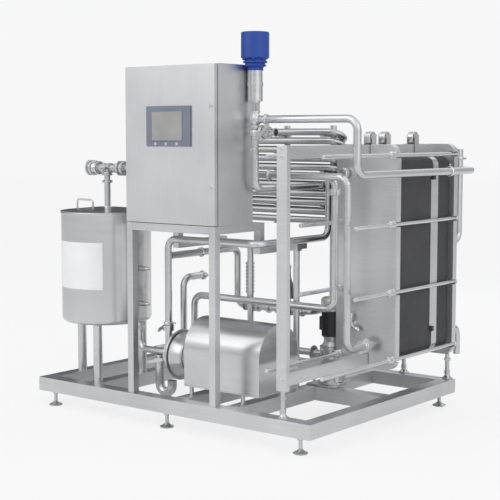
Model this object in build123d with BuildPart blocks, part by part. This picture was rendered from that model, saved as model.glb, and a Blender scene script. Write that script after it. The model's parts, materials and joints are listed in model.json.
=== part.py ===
from build123d import *
from math import cos, pi, radians, sin
import os

os.makedirs("parts", exist_ok=True)

# Distances run from the base frame's front left corner at the floor: x along the front, y to the back
# and z up. at() turns such a place into the model's frame, whose origin is the middle of the outline.

# Product pipe and its fittings
pipe_radius = 19
bend_radius = 57
tight_bend = 30
clamp_radius = 27
clamp_width = 18
union_radius = 32
union_width = 34
shaft_fit = 0.05

# Base frame of square tube on six levelling feet, as long as the plate heat exchanger needs
frame_beyond_plates = 185
frame_width = 1393
frame_tube = 76
frame_underside = 80
frame_top = frame_underside + frame_tube
tank_beam_x = 320
pump_beam_x = 960
plate_beam_x = 1300
tie_beam_y = 740
foot_pad_radius = 36
foot_pad_height = 14
foot_stem_radius = 10
foot_nut_width = 34
foot_nut_height = 12
first_foot_x = 95
middle_foot_x = 935
last_foot_inset = 80

# Stand under the control cabinet
stand_tube = 40
stand_depth = 400
stand_top = 1057
side_bar_bottom = 895
side_bar_end = 790
rack_bar_y = 625
rack_bar_overhang = 55
rack_post_radius = 17
rack_post_left = 1007
rack_post_gap = 38
rack_post_y = 645

# Control cabinet
cabinet_left = 684
cabinet_front = 12
cabinet_width = 600
cabinet_height = 800
cabinet_depth = 300
cabinet_sheet = 3
door_thickness = 22
door_gap = 5
door_rim = 20
door_skin = 3
hinge_inset_x = 8
hinge_inset_y = 16
hinge_plate = 3
hinge_gap = 0.5
hinge_pin_radius = 3
hinge_pin_length = 14
panel_left = 836
panel_bottom = 1450
panel_width = 297
panel_height = 203
panel_bezel = 9
panel_rim = 12
panel_depth = 50
key_radius = 8
key_length = 9
key_proud = 3
key_travel = 2
key_clearance = 0.4
key_z = 1463
key_places = (901, 973, 1045)
mounting_sheet = 3

# Balance tank
tank_x = 255
tank_y = 290
tank_radius = 250
tank_wall = 3
tank_bottom = 470
tank_rim = 1073
tank_knuckle = 28
rim_height = 12
rim_radius = 254
lid_gap = 0.3
lid_sheet = 3
lid_rise = 18
lid_flat = 60
lid_handle_wire = 5
lid_handle_rise = 54
lid_handle_outer = 25
lid_handle_inner = 150
leg_circle = 205
leg_radius = 25
probe_y = 285
probe_levels = (585, 779)
filling_x = 268
filling_pipe_radius = 17
filling_guide = 0.4
header_z = 1324
header_y = 290
header_turn_x = 545
header_back_y = 400
header_end_x = 880

# Feed pump and motor
pump_y = 330
pump_z = 323
casing_left = 738
casing_depth = 40
casing_radius = 105
casing_wall = 6
discharge_y = 250
discharge_top = 462
adapter_flange = 12
adapter_radius = 138
adapter_neck = 95
adapter_end = 850
motor_end = 1180
motor_radius = 104
cowl_end = 1300
cowl_radius = 110
cowl_sheet = 3
shaft_radius = 10
impeller_radius = 88
fan_radius = 92
shroud_left = 943
shroud_right = 1440
shroud_front = 165
shroud_base = 205
shroud_spring_line = 385
shroud_sheet = 3
pump_plate = 8
pump_leg_radius = 11

# Suction, drain, delivery, return and plate feed lines
outlet_x = 468
drain_x = 620
drain_radius = 25.5
drain_bore = 24
drain_bend = 45
drain_bend_top = 145
drain_mouth_depth = 25
butterfly_width = 28
butterfly_radius = 30
butterfly_neck = 9
butterfly_reach = 44
butterfly_shaft = 4
disc_room = 6
lever_width = 18
lever_sheet = 4
delivery_run_z = 957
delivery_run_gap = 84
delivery_end_y = 869
tee_z = 865
return_side = 84
return_y = 590
return_run_z = 612
return_drop_x = 648
relief_drop_x = 566
relief_run_z = 702
upper_run_z = 1297
feed_side = 35
feed_y = 529
feed_z = 418
upper_turn_x = 1075
main_side = 255
main_z = 1316
rear_side = 163
rear_y = 1440
rear_top = 1430
rear_port_z = 924
rear_low_z = 440
rear_mouth = 290
mouth_depth = 40
mouth_wall = 1.5

# Holding coil
coil_top = 1524
coil_pitch = 48.5
coil_levels = 11
coil_inlet_level = 5
coil_outlet_level = 6
coil_front = 930
coil_back = 1030
coil_left = 520
coil_overhang = 41
coil_drop_x = 400
coil_outlet_inset = 65
coil_bend_corners = 3
coil_strap_width = 30
coil_strap_thickness = 8

# Flow diversion valve column
valve_gap = 43
valve_y = 278
forward_z = 1585
divert_z = 1520
valve_bottom = 1493
yoke_bottom = 1619
yoke_top = 1676
yoke_plate = 8
yoke_radius = 26
stem_radius = 6
stem_bore = 14
plug_radius = 12.5
piston_thickness = 14
cylinder_radius = 38
cylinder_bore = 30
cylinder_top = 1858
head_radius = 71
head_bottom = 1910
head_top = 2019
divert_reach = 77

# Plate heat exchanger
plate_gap = 401
plate_width = 370
plate_thickness = 40
pressure_front = 753
grid_front = 1175
grid_thickness = 53
frame_front = 1345
plate_bottom = 297
plate_top = 1460
plate_corner = 55
pack_width = 300
pack_bottom = 342
pack_top = 1390
pack_corner = 45
rail_width = 40
rail_clearance = 1.5
carrying_bottom = 1395
carrying_top = 1458
guide_bottom = 311
guide_top = 375
post_width = 60
post_thickness = 30
post_front = 23
tie_rod_radius = 11
tie_rod_clearance = 2
tie_rod_spread = 165
tie_rod_levels = (352, 702, 1052, 1404)
long_rod_start = 120
short_rod_start = 400
rod_overhang = 25
sleeve_length = 53
sleeve_radius = 20
back_nut_width = 36
back_nut_length = 16
roller_radius = 34
roller_width = 34
roller_pin_radius = 8
roller_gap = 0.3
roller_rows = (785, 925, 1212)
open_port_side = 129
open_port_z = 1308
open_port_bore = 17.5
wheel_side = 73
wheel_z = 520
wheel_arm = 52

# Hot water pump, its line and the control valves
water_side = 263
water_y = 840
water_radius = 62
water_plate_thickness = 10
water_pump_top = 425
water_motor_top = 564
water_cap_top = 639
water_shaft_radius = 8
water_suction_z = 318
valve_row_z = 540
control_valve_places = (850, 1114)
water_turn_x = 1270
grid_port_y = 1201

# Places that follow the cabinet's right side and the plates' middle
cabinet_right = cabinet_left + cabinet_width
rack_bar_end = cabinet_right + rack_bar_overhang
rack_post_right = cabinet_right + rack_post_gap
valve_x = cabinet_right + valve_gap
divert_valve_x = valve_x + divert_reach
delivery_run_x = cabinet_right + delivery_run_gap
coil_right = cabinet_right + coil_overhang
coil_outlet_x = coil_right - coil_outlet_inset
plate_x = cabinet_right + plate_gap
return_x = plate_x - return_side
feed_x = plate_x + feed_side
main_x = plate_x + main_side
rear_x = plate_x + rear_side
open_port_x = plate_x - open_port_side
wheel_x = plate_x - wheel_side
water_x = plate_x - water_side
frame_length = plate_x + frame_beyond_plates
foot_columns = (first_foot_x, middle_foot_x, frame_length - last_foot_inset)
foot_rows = (frame_tube / 2, frame_width - frame_tube / 2)
outline_middle_x = (main_x + clamp_radius) / 2
outline_middle_y = (rear_y + clamp_radius) / 2


def at(x, y, z):
    return Vector(x - outline_middle_x, y - outline_middle_y, z)


def upward(x, y, z):
    return Plane(origin=at(x, y, z), x_dir=(1, 0, 0), z_dir=(0, 0, 1))


def rightward(x, y, z):
    return Plane(origin=at(x, y, z), x_dir=(0, 1, 0), z_dir=(1, 0, 0))


def backward(x, y, z):
    return Plane(origin=at(x, y, z), x_dir=(-1, 0, 0), z_dir=(0, 1, 0))


def bar(start, length, width, height):
    with BuildPart() as piece:
        with BuildSketch(start):
            Rectangle(width, height)
        extrude(amount=length)
    return piece.part


def disc(start, length, radius, bore=0):
    with BuildPart() as piece:
        with BuildSketch(start):
            Circle(radius)
            if bore:
                Circle(bore, mode=Mode.SUBTRACT)
        extrude(amount=length)
    return piece.part


def nut(start, length, width, bore):
    with BuildPart() as piece:
        with BuildSketch(start):
            RegularPolygon(width / 2, 6, major_radius=False)
            Circle(bore, mode=Mode.SUBTRACT)
        extrude(amount=length)
    return piece.part


def turned(start, *profile):
    with BuildPart() as piece:
        with BuildSketch(Plane(origin=start.origin, x_dir=start.x_dir, z_dir=start.y_dir * -1)):
            with BuildLine():
                Polyline(*profile, close=True)
            make_face()
        revolve(axis=Axis(start.origin, start.z_dir))
    return piece.part


def swept(edge, radius):
    with BuildPart() as piece:
        with BuildSketch(Plane(origin=edge @ 0, z_dir=edge % 0)):
            Circle(radius)
        sweep(path=edge)
    return piece.part


def pipe(*stops, radius=pipe_radius, turn=bend_radius):
    with BuildLine() as route:
        FilletPolyline(*[at(*stop) for stop in stops], radius=turn)
    return [swept(edge, radius) for edge in route.edges()]


def save(name, *pieces):
    node = pieces[0] if len(pieces) == 1 else Compound(children=list(pieces))
    node.label = name
    export_step(node, "parts/" + name + ".step")


# Base frame
beam_span = frame_width - 2 * frame_tube
beam_z = frame_underside + frame_tube / 2
beams = []
for beam_y in (frame_tube / 2, frame_width - frame_tube / 2):
    beams.append(bar(rightward(0, beam_y, beam_z), frame_length, frame_tube, frame_tube))
for beam_left in (0, tank_beam_x, pump_beam_x, plate_beam_x, frame_length - frame_tube):
    beam_middle = beam_left + frame_tube / 2
    beams.append(bar(backward(beam_middle, frame_tube, beam_z), beam_span, frame_tube, frame_tube))
tie_beam_left = plate_beam_x + frame_tube
tie_beam_length = frame_length - frame_tube - tie_beam_left
tie_beam_middle = tie_beam_y + frame_tube / 2
beams.append(bar(rightward(tie_beam_left, tie_beam_middle, beam_z), tie_beam_length, frame_tube, frame_tube))
save("base_frame", *beams)

# Levelling feet under the base frame and under the plate heat exchanger
feet = []
for foot_x in foot_columns:
    for foot_y in foot_rows:
        foot_nut_z = frame_underside - foot_nut_height
        feet.append(turned(
            upward(foot_x, foot_y, 0),
            (0, 0),
            (foot_pad_radius, 0),
            (foot_pad_radius, foot_pad_height / 2),
            (foot_stem_radius, foot_pad_height),
            (foot_stem_radius, frame_underside),
            (0, frame_underside),
        ))
        feet.append(nut(upward(foot_x, foot_y, foot_nut_z), foot_nut_height, foot_nut_width, foot_stem_radius))

plate_foot_height = plate_bottom - frame_top
plate_foot_places = (
    (plate_x, post_front + post_thickness / 2, plate_bottom - 10 - frame_top),
    (plate_x - 137, frame_front + 28, plate_foot_height),
    (plate_x + 143, frame_front + 28, plate_foot_height),
)
for foot_x, foot_y, foot_height in plate_foot_places:
    feet.append(turned(
        upward(foot_x, foot_y, frame_top),
        (0, 0),
        (28, 0),
        (28, 8),
        (12, 16),
        (12, foot_height),
        (0, foot_height),
    ))
    feet.append(nut(upward(foot_x, foot_y, frame_top + foot_height - 14), 14, foot_nut_width, 12))
save("levelling_feet", *feet)

# Cabinet stand
stand_front_y = cabinet_front + stand_tube / 2
stand_back_y = cabinet_front + stand_depth - stand_tube / 2
stand_ring_z = stand_top - stand_tube / 2
stand_columns = (cabinet_left + stand_tube / 2, cabinet_right - stand_tube / 2)
stand = []
for post_x in stand_columns:
    post_height = stand_top - stand_tube - frame_top
    stand.append(bar(upward(post_x, stand_front_y, frame_top), post_height, stand_tube, stand_tube))
    drop_height = stand_top - stand_tube - side_bar_bottom
    stand.append(bar(upward(post_x, stand_back_y, side_bar_bottom), drop_height, stand_tube, stand_tube))
    stand.append(bar(backward(post_x, cabinet_front, stand_ring_z), stand_depth, stand_tube, stand_tube))
    side_z = side_bar_bottom + stand_tube / 2
    side_front = cabinet_front + stand_depth
    stand.append(bar(backward(post_x, side_front, side_z), rack_bar_y - side_front, stand_tube, stand_tube))
    side_back = rack_bar_y + stand_tube
    stand.append(bar(backward(post_x, side_back, side_z), side_bar_end - side_back, stand_tube, stand_tube))
ring_left = cabinet_left + stand_tube
ring_length = cabinet_width - 2 * stand_tube
for ring_y in (stand_front_y, stand_back_y):
    stand.append(bar(rightward(ring_left, ring_y, stand_ring_z), ring_length, stand_tube, stand_tube))
rack_bar_length = rack_bar_end - cabinet_left
rack_bar_middle = rack_bar_y + stand_tube / 2
stand.append(bar(rightward(cabinet_left, rack_bar_middle, side_z), rack_bar_length, stand_tube, stand_tube))
for post_x in (rack_post_left, rack_post_right - 3):
    stand.append(disc(upward(post_x, rack_post_y, frame_top), side_bar_bottom - frame_top, rack_post_radius))
save("cabinet_stand", *stand)

# Control cabinet
body_front = cabinet_front + door_thickness + door_gap
body_depth = cabinet_front + cabinet_depth - body_front
body_middle_y = body_front + body_depth / 2
cabinet_middle_x = cabinet_left + cabinet_width / 2
cabinet_bottom = stand_top
cabinet_top = cabinet_bottom + cabinet_height
inner_width = cabinet_width - 2 * cabinet_sheet
inner_height = cabinet_height - 2 * cabinet_sheet
inner_bottom = cabinet_bottom + cabinet_sheet
cabinet_walls = []
for wall_x in (cabinet_left + cabinet_sheet / 2, cabinet_right - cabinet_sheet / 2):
    cabinet_walls.append(bar(upward(wall_x, body_middle_y, cabinet_bottom), cabinet_height, cabinet_sheet, body_depth))
for wall_z in (cabinet_bottom, cabinet_top - cabinet_sheet):
    cabinet_walls.append(bar(upward(cabinet_middle_x, body_middle_y, wall_z), cabinet_sheet, inner_width, body_depth))
back_sheet_y = cabinet_front + cabinet_depth - cabinet_sheet / 2
cabinet_walls.append(bar(upward(cabinet_middle_x, back_sheet_y, inner_bottom), inner_height, inner_width, cabinet_sheet))
hinge_x = cabinet_left + hinge_inset_x
hinge_y = cabinet_front + hinge_inset_y
hinge_reach = body_front - hinge_y + 4
for plate_z, pin_z in (
    (cabinet_bottom, cabinet_bottom + hinge_plate),
    (cabinet_top - hinge_plate, cabinet_top - hinge_plate - hinge_pin_length),
):
    with BuildPart() as hinge_bracket:
        with BuildSketch(upward(hinge_x, hinge_y - 4 + hinge_reach / 2, plate_z)):
            Rectangle(14, hinge_reach)
        extrude(amount=hinge_plate)
        with BuildSketch(upward(hinge_x, hinge_y, pin_z)):
            Circle(hinge_pin_radius)
        extrude(amount=hinge_pin_length)
    cabinet_walls.append(hinge_bracket.part)
save("control_cabinet", *cabinet_walls)

# Cabinet door, hollow behind and cut out for the touch panel
door_bottom = cabinet_bottom + hinge_plate + hinge_gap
door_height = cabinet_height - 2 * hinge_plate - 2 * hinge_gap
door_middle_z = door_bottom + door_height / 2
door_back = cabinet_front + door_thickness
panel_middle_x = panel_left + panel_width / 2
panel_middle_z = panel_bottom + panel_height / 2
with BuildPart() as cabinet_door:
    with BuildSketch(backward(cabinet_middle_x, cabinet_front, door_middle_z)):
        Rectangle(cabinet_width, door_height)
    extrude(amount=door_thickness)
    with BuildSketch(backward(cabinet_middle_x, cabinet_front + door_skin, door_middle_z)):
        Rectangle(cabinet_width - 2 * door_rim, door_height - 2 * door_rim)
    extrude(amount=door_thickness, mode=Mode.SUBTRACT)
    with BuildSketch(backward(panel_middle_x, cabinet_front, panel_middle_z)):
        Rectangle(panel_width - 2 * panel_rim, panel_height - 2 * panel_rim)
    extrude(amount=door_skin, mode=Mode.SUBTRACT)
    for bore_z in (door_bottom, door_bottom + door_height - hinge_pin_length):
        with BuildSketch(upward(hinge_x, hinge_y, bore_z)):
            Circle(hinge_pin_radius + shaft_fit)
        extrude(amount=hinge_pin_length, mode=Mode.SUBTRACT)
cabinet_door.part.label = "cabinet_door"
export_step(cabinet_door.part, "parts/cabinet_door.step")

# Touch panel with three key holes, and the keys
panel_front = cabinet_front - panel_bezel
key_hole_depth = key_length - key_proud + key_travel + 1
with BuildPart() as touch_panel:
    with BuildSketch(backward(panel_middle_x, panel_front, panel_middle_z)):
        RectangleRounded(panel_width, panel_height, 8)
    extrude(amount=panel_bezel)
    with BuildSketch(backward(panel_middle_x, cabinet_front, panel_middle_z)):
        Rectangle(panel_width - 2 * panel_rim - 1, panel_height - 2 * panel_rim - 1)
    extrude(amount=panel_depth)
    for key_x in key_places:
        with BuildSketch(backward(key_x, panel_front, key_z)):
            Circle(key_radius + key_clearance)
        extrude(amount=key_hole_depth, mode=Mode.SUBTRACT)
touch_panel.part.label = "touch_panel"
export_step(touch_panel.part, "parts/touch_panel.step")
for key_number, key_x in enumerate(key_places, 1):
    save("panel_key_" + str(key_number), disc(backward(key_x, panel_front - key_proud, key_z), key_length, key_radius))

# Mounting plate with drives, controller and breakers
plate_back = cabinet_front + cabinet_depth - cabinet_sheet
sheet_y = plate_back - mounting_sheet / 2
modules = [bar(upward(cabinet_middle_x, sheet_y, inner_bottom + 30), inner_height - 60, 520, mounting_sheet)]
module_back = plate_back - mounting_sheet
for module_x, module_z, module_width, module_height, module_depth in (
    (790, 1110, 110, 220, 150),
    (920, 1110, 110, 220, 150),
    (1080, 1120, 160, 180, 110),
    (860, 1400, 230, 100, 90),
    (1090, 1400, 180, 100, 70),
    (980, 1600, 440, 90, 75),
    (980, 1745, 440, 50, 45),
):
    module_y = module_back - module_depth / 2
    modules.append(bar(upward(module_x, module_y, module_z), module_height, module_width, module_depth))
save("control_modules", *modules)

# Balance tank
tank_inside = tank_radius - tank_wall
tank_height = tank_rim + rim_height - tank_bottom
rim_bottom = tank_rim - tank_bottom
knuckle_mid = tank_knuckle * (1 - cos(pi / 4))
save("balance_tank", turned(
    upward(tank_x, tank_y, tank_bottom),
    (0, 0),
    (tank_radius - tank_knuckle, 0),
    (tank_radius - knuckle_mid, knuckle_mid),
    (tank_radius, tank_knuckle),
    (tank_radius, rim_bottom),
    (rim_radius, rim_bottom),
    (rim_radius, tank_height),
    (tank_inside, tank_height),
    (tank_inside, tank_knuckle),
    (tank_inside - knuckle_mid, knuckle_mid + tank_wall),
    (tank_inside - tank_knuckle, tank_wall + 1),
    (0, tank_wall),
))
legs = []
for leg_angle in (180, 60, 300):
    leg_x = tank_x + leg_circle * cos(radians(leg_angle))
    leg_y = tank_y + leg_circle * sin(radians(leg_angle))
    legs.append(disc(upward(leg_x, leg_y, frame_top), tank_bottom - frame_top, leg_radius))
save("tank_legs", *legs)

# Tank lid with its wire handle, which slides on the filling pipe
lid_bottom = tank_rim + rim_height + lid_gap
lid_radius = rim_radius - 2
lid_slope = lid_rise / (lid_radius - lid_flat)
lid_hole = filling_pipe_radius + filling_guide
lid_offset = filling_x - tank_x
with BuildPart() as lid_plate:
    with BuildSketch(Plane(origin=at(tank_x, tank_y, lid_bottom), x_dir=(1, 0, 0), z_dir=(0, -1, 0))):
        with BuildLine():
            Polyline(
                (0, lid_rise),
                (lid_flat, lid_rise),
                (lid_radius, 0),
                (lid_radius, lid_sheet),
                (lid_flat, lid_rise + lid_sheet),
                (0, lid_rise + lid_sheet),
                close=True,
            )
        make_face()
    revolve(axis=Axis(at(tank_x, tank_y, lid_bottom), (0, 0, 1)))
    with BuildSketch(upward(filling_x, tank_y, lid_bottom)):
        Circle(lid_hole)
    extrude(amount=2 * lid_rise, mode=Mode.SUBTRACT)
lid_pieces = [lid_plate.part]
handle_top = lid_bottom + lid_sheet + lid_handle_rise
handle_outer_z = lid_bottom + lid_sheet + (lid_radius - tank_x + lid_handle_outer) * lid_slope - 1
handle_inner_z = lid_bottom + lid_sheet + (lid_radius - tank_x + lid_handle_inner) * lid_slope - 1
lid_pieces += pipe(
    (lid_handle_outer, tank_y, handle_outer_z),
    (lid_handle_outer, tank_y, handle_top),
    (lid_handle_inner, tank_y, handle_top),
    (lid_handle_inner, tank_y, handle_inner_z),
    radius=lid_handle_wire,
    turn=15,
)
save("tank_lid", *lid_pieces)

# Level probes
probes = []
for probe_z in probe_levels:
    probes.append(turned(
        rightward(tank_x + tank_radius, probe_y, probe_z),
        (0, 0),
        (12, 0),
        (12, 14),
        (16, 14),
        (16, 34),
        (12, 34),
        (12, 62),
        (6, 82),
        (0, 82),
    ))
save("level_probes", *probes)

# Filling pipe, header and its hangers
spray_z = tank_rim - 120
filling = [disc(upward(filling_x, header_y, spray_z + 32), header_z - pipe_radius - spray_z - 32, filling_pipe_radius)]
filling += pipe(
    (filling_x - 58, header_y, header_z),
    (header_turn_x, header_y, header_z),
    (header_turn_x, header_back_y, header_z),
    (header_end_x, header_back_y, header_z),
    turn=50,
)
filling.append(disc(rightward(filling_x - 138, header_y, header_z), 80, 43.5))
filling.append(disc(rightward(filling_x + 97, header_y, header_z), 44, 29, pipe_radius))
filling.append(disc(rightward(filling_x - 30, header_y, header_z), 60, 29, pipe_radius))
filling.append(disc(upward(filling_x, header_y, header_z - 42), 12, 29, filling_pipe_radius))
filling.append(disc(upward(filling_x, header_y, header_z - 84), 17, 29, filling_pipe_radius))
for hanger_x in (760, 850):
    hanger_y = cabinet_front + cabinet_depth
    hanger_length = header_back_y - hanger_y - clamp_radius
    filling.append(bar(backward(hanger_x, hanger_y, header_z), hanger_length, 24, 30))
    filling.append(disc(rightward(hanger_x - 9, header_back_y, header_z), 18, clamp_radius, pipe_radius))
save("filling_line", *filling)
with BuildPart() as spray_ball:
    with Locations(at(filling_x, header_y, spray_z)):
        Sphere(32)
    with BuildSketch(upward(filling_x, header_y, spray_z - 40)):
        Circle(60)
    extrude(amount=14, mode=Mode.SUBTRACT)
    with BuildSketch(upward(filling_x, header_y, spray_z + 32)):
        Circle(60)
    extrude(amount=-4, mode=Mode.SUBTRACT)
    with BuildSketch(upward(filling_x, header_y, spray_z + 28)):
        Circle(filling_pipe_radius)
    extrude(amount=4)
spray_ball.part.label = "spray_ball"
export_step(spray_ball.part, "parts/spray_ball.step")

# Suction and drain lines
suction = pipe((outlet_x, pump_y, tank_bottom), (outlet_x, pump_y, pump_z), (casing_left, pump_y, pump_z))
suction.append(disc(upward(outlet_x, pump_y, tank_bottom - 40), clamp_width, clamp_radius, pipe_radius))
suction.append(disc(rightward(casing_left - 60, pump_y, pump_z), union_width, union_radius, pipe_radius))
save("suction_line", *suction)
drain_valve_z = pump_z - pipe_radius - 30
drain_end_x = drain_x + 2 * drain_bend
pipe_bore = pipe_radius - mouth_wall
drain_valve_top = drain_valve_z + butterfly_width / 2
drain_valve_bottom = drain_valve_z - butterfly_width / 2
drain_neck = pump_z - pipe_radius - drain_valve_top - disc_room
drain_stub = drain_valve_bottom - disc_room - drain_bend_top
drain = [
    disc(upward(drain_x, pump_y, drain_valve_top), disc_room, pipe_radius, pipe_bore),
    disc(upward(drain_x, pump_y, drain_valve_top + disc_room), drain_neck, pipe_radius),
    disc(upward(drain_x, pump_y, drain_valve_bottom - disc_room), disc_room, drain_radius, pipe_bore),
    disc(upward(drain_x, pump_y, drain_bend_top), drain_stub, drain_radius),
]
with BuildLine() as half_turn:
    ThreePointArc(
        at(drain_x, pump_y, drain_bend_top),
        at(drain_x + drain_bend, pump_y, drain_bend_top - drain_bend),
        at(drain_end_x, pump_y, drain_bend_top),
    )
drain.append(swept(half_turn.edges()[0], drain_radius))
drain.append(disc(upward(drain_end_x, pump_y, drain_bend_top), drain_mouth_depth, drain_radius, drain_bore))
save("drain_line", *drain)


# Butterfly valves: ring bodies with a shaft neck, and levers with a shaft and a disc
def butterfly_body(middle):
    with BuildPart() as piece:
        with BuildSketch(middle.offset(-butterfly_width / 2)):
            Circle(butterfly_radius)
            Circle(pipe_radius, mode=Mode.SUBTRACT)
        extrude(amount=butterfly_width)
        neck_start = middle.origin + middle.x_dir * (butterfly_radius - 2)
        with BuildSketch(Plane(origin=neck_start, z_dir=middle.x_dir)):
            Circle(butterfly_neck)
        extrude(amount=butterfly_neck)
        with BuildSketch(Plane(origin=middle.origin, z_dir=middle.x_dir)):
            Circle(butterfly_shaft + shaft_fit)
        extrude(amount=butterfly_reach, mode=Mode.SUBTRACT)
    return piece.part


def butterfly_lever(middle, lever_plane, length):
    with BuildPart() as piece:
        with BuildSketch(middle.offset(-1.5)):
            Circle(pipe_radius - 0.4)
        extrude(amount=3)
        with BuildSketch(Plane(origin=middle.origin, z_dir=middle.x_dir)):
            Circle(butterfly_shaft)
        extrude(amount=butterfly_reach)
        with BuildSketch(lever_plane):
            SlotCenterPoint((0, 0), (length / 2, 0), lever_width)
        extrude(amount=lever_sheet)
    return piece.part


def lever_plane(middle, toward):
    origin = middle.origin + middle.x_dir * (butterfly_reach - lever_sheet)
    return Plane(origin=origin, x_dir=toward, z_dir=middle.x_dir)


delivery_valve_z = discharge_top + butterfly_width / 2
drain_middle = Plane(origin=at(drain_x, pump_y, drain_valve_z), x_dir=(0, -1, 0), z_dir=(0, 0, 1))
delivery_middle = Plane(origin=at(casing_left + 21, discharge_y, delivery_valve_z), x_dir=(-1, 0, 0), z_dir=(0, 0, 1))
divert_middle = Plane(origin=at(divert_valve_x, valve_y, divert_z), x_dir=(0, -1, 0), z_dir=(1, 0, 0))
save(
    "butterfly_valve_bodies",
    butterfly_body(drain_middle),
    butterfly_body(delivery_middle),
    butterfly_body(divert_middle),
)
save("drain_valve_lever", butterfly_lever(drain_middle, lever_plane(drain_middle, (-1, 0, -0.25)), 100))
save("delivery_valve_lever", butterfly_lever(delivery_middle, lever_plane(delivery_middle, (0, -1, -0.4)), 70))
save("divert_valve_lever", butterfly_lever(divert_middle, lever_plane(divert_middle, (0.7, 0, 0.7)), 100))

# Feed pump
discharge_x = casing_left + 21
with BuildPart() as feed_pump_casing:
    with BuildSketch(rightward(casing_left, pump_y, pump_z)):
        Circle(casing_radius)
    extrude(amount=casing_depth)
    with BuildSketch(upward(discharge_x, discharge_y, pump_z)):
        Circle(pipe_radius)
    extrude(amount=discharge_top - pump_z)
    with BuildSketch(upward(discharge_x, discharge_y, discharge_top - disc_room)):
        Circle(pipe_bore)
    extrude(amount=disc_room, mode=Mode.SUBTRACT)
    with BuildSketch(rightward(casing_left + casing_wall, pump_y, pump_z)):
        Circle(casing_radius - 2 * casing_wall)
    extrude(amount=casing_depth, mode=Mode.SUBTRACT)
feed_pump_casing.part.label = "feed_pump_casing"
export_step(feed_pump_casing.part, "parts/feed_pump_casing.step")
adapter_start = casing_left + casing_depth
adapter_length = adapter_end - adapter_start
save("pump_adapter", turned(
    rightward(adapter_start, pump_y, pump_z),
    (shaft_radius + shaft_fit, 0),
    (adapter_radius, 0),
    (adapter_radius, adapter_flange),
    (adapter_radius - 20, adapter_flange),
    (adapter_neck, adapter_length),
    (shaft_radius + shaft_fit, adapter_length),
))
motor_length = motor_end - adapter_end
motor = [turned(
    rightward(adapter_end, pump_y, pump_z),
    (shaft_radius + shaft_fit, 0),
    (motor_radius - 6, 0),
    (motor_radius, 6),
    (motor_radius, motor_length),
    (shaft_radius + shaft_fit, motor_length),
)]
cowl_length = cowl_end - motor_end
motor.append(turned(
    rightward(motor_end, pump_y, pump_z),
    (motor_radius - 10, 0),
    (cowl_radius, 0),
    (cowl_radius, cowl_length - 14),
    (cowl_radius - 14, cowl_length),
    (45, cowl_length),
    (45, cowl_length - cowl_sheet),
    (cowl_radius - 14 - cowl_sheet, cowl_length - cowl_sheet),
    (cowl_radius - cowl_sheet, cowl_length - 14),
    (cowl_radius - cowl_sheet, 4),
    (motor_radius - 10, 4),
))
motor_foot_height = pump_z - motor_radius - shroud_base
for motor_foot_x in (990, 1140):
    motor.append(bar(upward(motor_foot_x, pump_y, shroud_base), motor_foot_height + 8, 50, 150))
save("feed_pump_motor", *motor)
with BuildPart() as feed_pump_rotor:
    with BuildSketch(rightward(casing_left + 16, pump_y, pump_z)):
        Circle(shaft_radius)
    extrude(amount=motor_end + 60 - casing_left - 16)
    with BuildSketch(rightward(casing_left + 28, pump_y, pump_z)):
        Circle(impeller_radius)
    extrude(amount=5)
    with BuildSketch(rightward(casing_left + 12, pump_y, pump_z)):
        Circle(22)
        with PolarLocations(impeller_radius / 2 + 6, 6):
            Rectangle(impeller_radius - 14, 4)
    extrude(amount=16)
    with BuildSketch(rightward(motor_end + 30, pump_y, pump_z)):
        Circle(30)
        with PolarLocations(fan_radius / 2 + 8, 8):
            Rectangle(fan_radius - 18, 4)
    extrude(amount=30)
feed_pump_rotor.part.label = "feed_pump_rotor"
export_step(feed_pump_rotor.part, "parts/feed_pump_rotor.step")

# Pump base plate and shroud
shroud_radius = pump_y - shroud_front
shroud_length = shroud_right - shroud_left
base_middle_x = (shroud_left + shroud_right) / 2
pump_base = [bar(
    upward(base_middle_x, pump_y, shroud_base - pump_plate),
    pump_plate,
    shroud_length,
    2 * shroud_radius,
)]
for base_leg_x in (shroud_left + 35, cowl_end + 22):
    for base_leg_y in (shroud_front + 20, pump_y + shroud_radius - 20):
        leg_height = shroud_base - pump_plate - frame_top
        pump_base.append(disc(upward(base_leg_x, base_leg_y, frame_top), leg_height, pump_leg_radius))
save("pump_base", *pump_base)
with BuildPart() as pump_shroud:
    with BuildSketch(rightward(shroud_left, pump_y, shroud_spring_line)):
        Circle(shroud_radius)
        with Locations((0, (shroud_base - shroud_spring_line) / 2)):
            Rectangle(2 * shroud_radius, shroud_spring_line - shroud_base)
    extrude(amount=shroud_length)
    with BuildSketch(rightward(shroud_left, pump_y, shroud_spring_line)):
        Circle(shroud_radius - shroud_sheet)
        with Locations((0, -shroud_radius)):
            Rectangle(2 * shroud_radius - 2 * shroud_sheet, 2 * shroud_radius)
    extrude(amount=shroud_length - shroud_sheet, mode=Mode.SUBTRACT)
pump_shroud.part.label = "pump_shroud"
export_step(pump_shroud.part, "parts/pump_shroud.step")

# Delivery line from the feed pump to the holding coil, with the tee to the control valves
riser_bottom = delivery_valve_z + butterfly_width / 2
coil_inlet_z = coil_top - coil_inlet_level * coil_pitch
coil_outlet_z = coil_top - coil_outlet_level * coil_pitch
delivery = pipe(
    (discharge_x, discharge_y, riser_bottom + disc_room),
    (discharge_x, discharge_y, delivery_run_z),
    (delivery_run_x, discharge_y, delivery_run_z),
    (delivery_run_x, delivery_end_y, delivery_run_z),
    (delivery_run_x, delivery_end_y, coil_inlet_z - 80),
)
delivery.append(disc(upward(discharge_x, discharge_y, riser_bottom), disc_room, pipe_radius, pipe_bore))
delivery += pipe(
    (delivery_run_x, delivery_end_y, coil_inlet_z - 80),
    (delivery_run_x, delivery_end_y, coil_inlet_z),
    (delivery_run_x, coil_front, coil_inlet_z),
    (coil_right, coil_front, coil_inlet_z),
    turn=tight_bend,
)
delivery += pipe(
    (discharge_x, discharge_y + pipe_radius, tee_z),
    (discharge_x, water_y, tee_z),
    (discharge_x, water_y, valve_row_z),
    (control_valve_places[0] - 36, water_y, valve_row_z),
    turn=50,
)
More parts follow.
